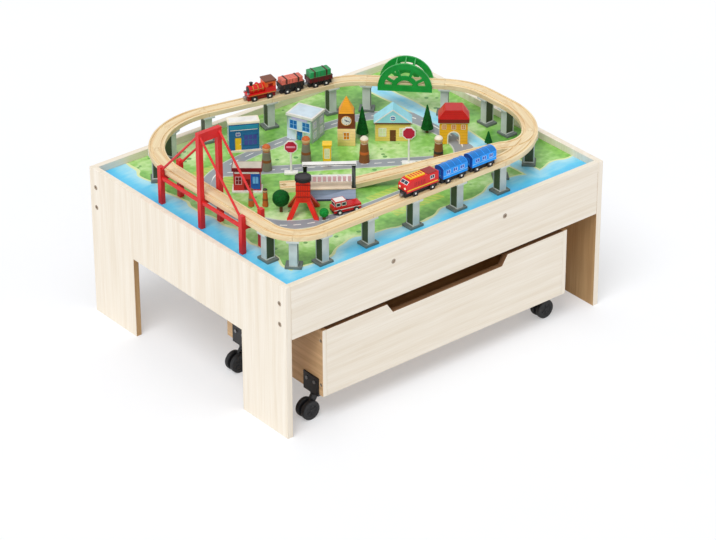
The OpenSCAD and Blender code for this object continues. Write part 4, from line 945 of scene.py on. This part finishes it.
for wall in (0, 180):
    gatehouse.add(prism(mouth, 1.6), cream, on_wall(wall, 0, long_wall, 0))
    fit(gatehouse, (3.4, 2.2, 5), 0.5, cream, on_wall(wall, 0, long_wall, 32.4))
    for along in (-24, 0, 24):
        window(gatehouse, clock_orange, cream, 10, 12, on_wall(wall, along, long_wall, 42))
    fit(gatehouse, (71, 1.6, 2.4), 0.5, cream, on_wall(wall, 0, long_wall, 57.8))
    fit(gatehouse, (76, 1.4, 1.8), 0.4, arch_roof, on_wall(wall, 0, long_wall + 4, 70.6))
for wall in (90, -90):
    window(gatehouse, clock_orange, cream, 14, 20, on_wall(wall, 0, end_wall, 22))
gatehouse.settle("table", "arch_house_orange", "arch_house")


# Station
# A blue-grey platform with a pale top, two dark posts with a white roof beam and a fence rail.
# The rail has pale pink boards, and a dark plinth runs round the platform's foot as painted shadow.
stone_blue = painted("stone_blue", (142, 158, 184), boards=9)
platform_pale = painted("platform_pale", (246, 224, 196), 0.5)
post_dark = painted("post_dark", (30, 40, 32), 0.45)
fence_pink = painted("fence_pink", (238, 190, 196))
plinth_shadow = painted("plinth_shadow", (62, 58, 96))
station = Piece("station_block", in_town(-132.454, -99.022, -36.996, 38))
station.solid("station", stone_blue)
platform, rail_foot, beam_foot = 34.4, 51.5, 96.8
station.cut(platform - 0.1)
station.paint(platform_pale, lambda middle, facing: facing.z > 0.3, 33, platform)
station.paint(trim_white, low=rail_foot)
station.paint(post_dark, lambda middle, facing: abs(middle.x) > 53.8, low=platform)
station.paint(trim_white, low=beam_foot)
for wall, out, length in ((0, 19, 126), (180, 19, 126), (90, 63, 38), (-90, 63, 38)):
    # The dark plinth at the foot is painted shadow under the platform.
    fit(station, (length + 0.8, 1.4, 5), 0.4, plinth_shadow, on_wall(wall, 0, out, 0.1))
    fit(station, (length + 1, 1.4, 3), 0.5, platform_pale, on_wall(wall, 0, out, 30.9))
for wall, rail_out, beam_out in ((0, 18, 20.8), (180, -11, -8.2)):
    for board in range(9):
        fit(station, (8, 1.4, 13), 0.4, fence_pink, on_wall(wall, 12 * board - 48, rail_out, 53.5))
    fit(station, (127, 1.2, 1.8), 0.4, post_dark, on_wall(wall, 0, beam_out, 98.4))
for side in (-1, 1):
    for height in (34, 93.4):
        fit(station, (11, 11, 3.4), 0.7, post_dark, at(58.5 * side, -14.5, height))
station.settle("table", "station_grey", "station")


# Kiosk
# A small red boarded block on a white base, with a dark door and a thick maroon roof.
# A blue panel with a pale pane is on one side of the door, and a barred window on the other.
kiosk_red = painted("kiosk_red", (206, 52, 50), boards=6)
kiosk_maroon = painted("kiosk_maroon", (126, 16, 26))
kiosk_top = painted("kiosk_top", (206, 196, 178), 0.5)
kiosk_blue = painted("kiosk_blue", (32, 98, 190))
sky_glass = moulded("sky_glass", (112, 178, 238), 0.18)
kiosk = Piece("kiosk_block", in_town(-260, 61, -40, 36))
kiosk.solid("kiosk", kiosk_red)
base_top, roof_foot, long_wall, end_wall = 5.3, 57.7, 16, 33
kiosk.paint(trim_white, high=base_top)
kiosk.paint(kiosk_maroon, low=roof_foot)
fit(kiosk, (70, 34, 1), 0.4, kiosk_top, at(0, 0, 66.4))
door(kiosk, kiosk_maroon, brass, 13.6, 29.6, on_wall(0, 0, 14, 5.2))
for wall, panel_side in ((0, 20.5), (180, -20.5)):
    fit(kiosk, (23, 1.6, 42), 0.5, kiosk_blue, on_wall(wall, panel_side, long_wall, 9))
    window(kiosk, sky_glass, kiosk_blue, 15, 20, on_wall(wall, panel_side, long_wall + 0.8, 24), 1, 0)
    window(kiosk, kiosk_maroon, fence_pink, 15, 20, on_wall(wall, -panel_side, long_wall, 22))
for wall in (90, -90):
    window(kiosk, sky_glass, trim_white, 14, 20, on_wall(wall, 0, end_wall, 22))
fit(kiosk, (60, 2.2, 5), 0.5, trim_white, on_wall(0, 0, long_wall, 51))
kiosk.settle("table", "kiosk_red", "kiosk")


# Water tower
# A red square tank on four splayed legs, under a round black lid.
# Hoops hold the boards of the tank together.
tower_red = painted("tower_red", (232, 40, 24), 0.32)
tower = Piece("water_tower_block", in_town(-217, -104, -40))
tower.solid("water_tower", tower_red, ease=0.5)
tower.paint(smoke_black, low=88.6)
for wall in (0, 90, 180, -90):
    for along in (-11, -5.5, 0, 5.5, 11):
        fit(tower, (0.7, 0.6, 40), 0.15, deep_red, on_wall(wall, along, 17, 46))
for height in (50, 66, 82):
    fit(tower, (35.4, 35.4, 2.4), 0.6, deep_red, at(0, 0, height))
tower.add(turned([(15, 97.6), (17, 97.6), (17, 98.6), (15, 98.8), (15, 97.6)], 40), smoke_black)
tower.settle("table", "tower_red", "water_tower")


# Trees
# Turned wooden trees, painted dark green with a leafy texture, on brown trunks.
# The pointed ones are cut in tiers and the round ones are lumpy balls.
def leafy(name, tone, dark):
    tone, dark = shade(*tone), shade(*dark)
    finish = Finish(name, {"Specular IOR Level": 0.15})
    leaves = finish.node("ShaderNodeTexVoronoi", {}, {"Vector": finish.place, "Scale": 260})
    cloud = finish.noise((50, 50, 50), 3)
    finish.feed({
        "Base Color": finish.ramp(0.6 * leaves + 0.4 * cloud, (0.2, dark), (0.6, tone)),
        "Roughness": 0.5 + 0.3 * leaves,
        "Normal": finish.relief(leaves, 0.35, 0.0008),
    })
    return finish


def lumpy_ball(radius):
    """Ball whose skin swells in and out, within its radius."""
    form = bmesh.new()
    bmesh.ops.create_icosphere(form, subdivisions=4, radius=1)
    for point in form.verts:
        x, y, z = point.co
        swell = sin(7 * x + 2 * z) * sin(6 * y - x) + sin(9 * z + 3 * y) * sin(5 * x + 1)
        point.co *= radius * (0.955 + 0.022 * swell)
    return form


leaf_dark = leafy("leaf_dark", (8, 92, 30), (2, 52, 16))
leaf_fresh = leafy("leaf_fresh", (28, 152, 60), (10, 96, 38))
trunk_brown = painted("trunk_brown", (104, 66, 38), 0.6)
trees = Piece("tree_set")
for x, y, radius, height in ((143, 114, 16, 86), (284, 29, 16, 78), (352, -126, 10, 42)):
    trees.add(turned([(0, 0), (4, 0), (4, 0.6), (3.6, 12), (0, 12)], 20), trunk_brown, at(x, y, board_top))
    skirt, tip = 11.5, height - 0.5
    tiers = [(0, skirt)]
    for tier in range(5):
        shares = tier / 5, (tier + 0.86) / 5
        low, high = (skirt + (tip - skirt) * share for share in shares)
        wide, narrow = (radius - (radius - 1.5) * share for share in shares)
        tiers += [(wide, low + 0.4), (narrow - 0.2, high), (0.88 * narrow, high + 0.6)]
    trees.add(turned(tiers + [(0, tip)]), leaf_dark, at(x, y, board_top))
for x, y, radius, height, leaf in ((-255, -66, 22, 58, leaf_dark), (-200, -162, 12, 30, leaf_fresh)):
    trunk = turned([(0, 0), (4, 0), (3.6, height - radius), (0, height - radius)], 20)
    trees.add(trunk, trunk_brown, at(x, y, board_top))
    trees.add(lumpy_ball(radius), leaf, at(x, y, board_top + height - radius))
trees.settle("table", "tree_green", "trees")


# Road signs and call box
# Eight-sided red plates with a pale rim on white posts, each with a white foot.
# The yellow call box has a cap, a brown foot and a barred pane in each side.
sign_red = painted("sign_red", (196, 34, 66), 0.3)
sign_pink = painted("sign_pink", (244, 160, 186), 0.3)
signs = Piece("road_sign_set")
eighth = spun(22.5)
for x, y, height, bar in ((138, -73, 103, False), (-117, 71, 92, True)):
    foot = in_town(x, y, -40)
    fit(signs, (34, 18, 6), 1.2, trim_white, foot)
    fit(signs, (20, 10, 1.2), 0.4, trim_white, foot @ at(0, 0, 5.8))
    post = turned([(0, 5), (3.4, 5), (2.6, 8), (2.5, height - 32), (0, height - 32)], 20)
    signs.add(post, trim_white, foot)
    plate = foot @ at(0, 0, height - 18) @ spun(90, "X") @ eighth
    rim = turned([(0, -1.6), (17.6, -1.6), (18, -1.2), (18, 1.2), (17.6, 1.6), (0, 1.6)], 8)
    signs.add(rim, trim_white, plate)
    signs.add(turned([(0, -2), (15.2, -2), (15.2, 2), (0, 2)], 8), sign_red, plate)
    if bar:
        fit(signs, (22, 4.6, 5), 0.3, sign_pink, foot @ at(0, 0, height - 20.5))
call_box = in_town(-25, 45, -40, 20)
fit(signs, (20, 20, 56), 0.8, signal_yellow, call_box)
fit(signs, (24, 24, 4), 1, signal_yellow, call_box @ at(0, 0, 55.8))
fit(signs, (21, 21, 4), 0.6, roof_brown, call_box @ at(0, 0, 0.1))
for wall in (0, 90, 180, -90):
    window(signs, pane_green, cream, 12, 26, call_box @ on_wall(wall, 0, 10, 22), 1, 2)
signs.settle("table", "sign_red", "road_signs")


# Figures
# Turned wooden pegs with a round head, painted as people in coats, four tall ones and two small.
# Each is one turning that stands free on the board, with its belt, collar and cap painted on.
coat_brown = painted("coat_brown", (138, 82, 40), 0.5)
coat_orange = painted("coat_orange", (206, 104, 44), 0.5)
coat_grey = painted("coat_grey", (128, 126, 108), 0.5)
coat_dark = painted("coat_dark", (58, 46, 38), 0.5)
skin_wood = wood("figure_wood", (232, 190, 142), (206, 158, 108), along=2)
figures = Piece("figure_set")


def peg(height, wide, place, coat, belt, hair):
    """Peg figure: a tapered coat with a collar and a belt, a round head and a cap or hair."""
    head = 0.4 * wide
    neck = height - 1.8 * head
    middle = height - head
    half, top = wide / 2, 0.36 * wide
    low, high = (half + (top - half) * share for share in (0.45, 0.6))

    def ball(size, lowest, step):
        tilts = [radians(tilt) for tilt in range(lowest, 91, step)]
        return [(size * cos(tilt), middle + size * sin(tilt)) for tilt in tilts]

    parts = (
        (coat, [(0, 0), (half - 0.6, 0), (half, 0.6), (low, 0.45 * neck), (high, 0.6 * neck),
                (top, neck - 1.2), (top - 1, neck), (0, neck)]),
        (belt, [(low - 0.6, 0.44 * neck), (low + 0.3, 0.45 * neck), (high + 0.4, 0.58 * neck),
                (high - 0.6, 0.6 * neck), (low - 0.6, 0.44 * neck)]),
        (skin_wood, ball(head, -90, 10)),
        (hair, [(0.6 * head, middle + 0.3 * head)] + ball(1.02 * head, 18, 8)),
        (hair, [(0.7 * top, neck - 1), (0.86 * top, neck - 0.6), (0.86 * top, neck + 1),
                (0.7 * top, neck + 1.4), (0.7 * top, neck - 1)]),
    )
    for finish, profile in parts:
        figures.add(turned(profile), finish, place)


peg(70, 27, at(-49, 98, board_top), coat_grey, coat_brown, coat_orange)
peg(70, 27, at(62, 7, board_top), coat_brown, coat_orange, cream)
peg(70, 27, at(205, -107, board_top), coat_brown, coat_dark, cream)
peg(70, 27, at(-150, 126, board_top), coat_grey, coat_brown, coat_orange)
peg(48, 15, at(-267, -20, board_top), coat_orange, coat_brown, coat_dark)
peg(48, 15, at(-293, 2, board_top), coat_orange, coat_grey, coat_brown)
figures.settle("table", "figure_brown", "figures")


# Toy car
# A red block car with a pale roof, dark panes and black tyres with pale hubs.
# Its wheels are fixed to the body.
car_red = painted("car_red", (214, 30, 36), 0.28)
car = Piece("toy_car_block", in_town(-138, -178, -14, 34))
car.solid("toy_car", car_red, ease=1.2)
car.paint(wheel_black, lambda middle, facing: abs(middle.y) > 13.2)
fit(car, (26, 20, 1.2), 0.5, trim_white, at(-17, 0, 34.4))
for side in (-1, 1):
    wall = 0 if side < 0 else 180
    for along in (-24.5, -9.5):
        window(car, dark_glass, trim_white, 11, 8.5, on_wall(wall, -side * along, 12, 23), 0, 0)
    fit(car, (70, 1, 1.8), 0.3, trim_white, on_wall(wall, 0, 13, 12.5))
    lamp = turned([(0, 0), (2.4, 0), (2.4, 1), (0, 1.4)], 20)
    car.add(lamp, lamp_cream, pointing((35.8, 8 * side, 14), (1, 0, 0)))
    for x in (-22, 22):
        hub = turned([(0, 0), (3.4, 0), (3.4, 0.7), (2.6, 1.1), (0, 1.2)], 20)
        car.add(hub, trim_white, pointing((x, 16.4 * side, 7), (0, side, 0)))
window(car, dark_glass, trim_white, 19, 9, on_wall(90, 0, -2, 22.5), 0, 0)
window(car, dark_glass, trim_white, 19, 9, on_wall(-90, 0, 32, 22.5), 0, 0)
for wall in (90, -90):
    fit(car, (25, 1.6, 3.4), 0.6, underframe_black, on_wall(wall, 0, 36, 6.5))
car.settle("table", "car_red", "toy_car")


# Studio
# A plain pale paper floor under a soft sky and one broad lamp, seen from the photograph's angle.
# The eye, mirrors and glass see the floor and the sky paler than they light the object.
pale_rays = ("Is Camera Ray", "Is Glossy Ray", "Is Transmission Ray")
paper = Finish("floor_paper", {"Roughness": 0.9, "Specular IOR Level": 0.1})
paper_tone = paper.ramp(paper.noise((3, 3, 3)), (0.3, shade(249, 251, 254)), (0.7, shade(251, 252, 255)))
paper.feed({"Base Color": paper_tone})
straight, mirrored, through = (paper.node("ShaderNodeLightPath", out=ray) for ray in pale_rays)
glow = paper.node("ShaderNodeEmission", {}, {"Color": (1, 1, 1, 1), "Strength": 1})
plain = Level(paper, paper.shader.outputs[0])
pale_share = 0.35 * (straight + mirrored + through)
pale_paper = paper.node("ShaderNodeMixShader", {}, {0: pale_share, 1: plain, 2: glow})
paper.join(paper.tree.nodes["Material Output"].inputs["Surface"], pale_paper)
floor_form = bmesh.new()
bmesh.ops.create_grid(floor_form, x_segments=1, y_segments=1, size=20)
floor_shape = bpy.data.meshes.new("floor")
floor_form.to_mesh(floor_shape)
floor_form.free()
floor_shape.materials.append(paper.material)
floor = bpy.data.objects.new("floor", floor_shape)
bpy.context.collection.objects.link(floor)

world = bpy.data.worlds.new("studio")
world.use_nodes = True
nodes, links = world.node_tree.nodes, world.node_tree.links
sky = nodes["Background"].inputs
sky["Color"].default_value = (0.97, 0.98, 1, 1)
rays = nodes.new("ShaderNodeLightPath").outputs
seen = rays[pale_rays[0]]
for ray in pale_rays[1:]:
    both = nodes.new("ShaderNodeMath")
    both.operation = "ADD"
    links.new(seen, both.inputs[0])
    links.new(rays[ray], both.inputs[1])
    seen = both.outputs[0]
strength = nodes.new("ShaderNodeMapRange")
strength.inputs["To Min"].default_value = 0.6
strength.inputs["To Max"].default_value = 1
links.new(seen, strength.inputs["Value"])
links.new(strength.outputs["Result"], sky["Strength"])
bpy.context.scene.world = world
lamp_data = bpy.data.lights.new("lamp", "SUN")
lamp_data.energy = 1.7
lamp_data.angle = radians(35)
lamp = bpy.data.objects.new("lamp", lamp_data)
lamp.rotation_euler = Vector((-0.25, -0.13, 0.45)).to_track_quat("Z", "Y").to_euler()
bpy.context.collection.objects.link(lamp)

azimuth, elevation, roll = radians(-39.072), radians(29.62), radians(-0.227)
right = Vector((cos(azimuth), sin(azimuth), 0))
back = Vector((sin(azimuth) * cos(elevation), -cos(azimuth) * cos(elevation), sin(elevation)))
turn = Matrix((right, back.cross(right), back)).transposed().to_4x4() @ Matrix.Rotation(roll, 4, "Z")
camera_data = bpy.data.cameras.new("camera")
camera_data.sensor_width = 36
camera_data.lens = 156.06
camera_data.clip_end = 100
camera = bpy.data.objects.new("camera", camera_data)
camera.matrix_world = Matrix.Translation((-4.22968, -5.25288, 3.94057)) @ turn
bpy.context.collection.objects.link(camera)
bpy.context.scene.camera = camera
bpy.context.scene.view_settings.view_transform = "Standard"
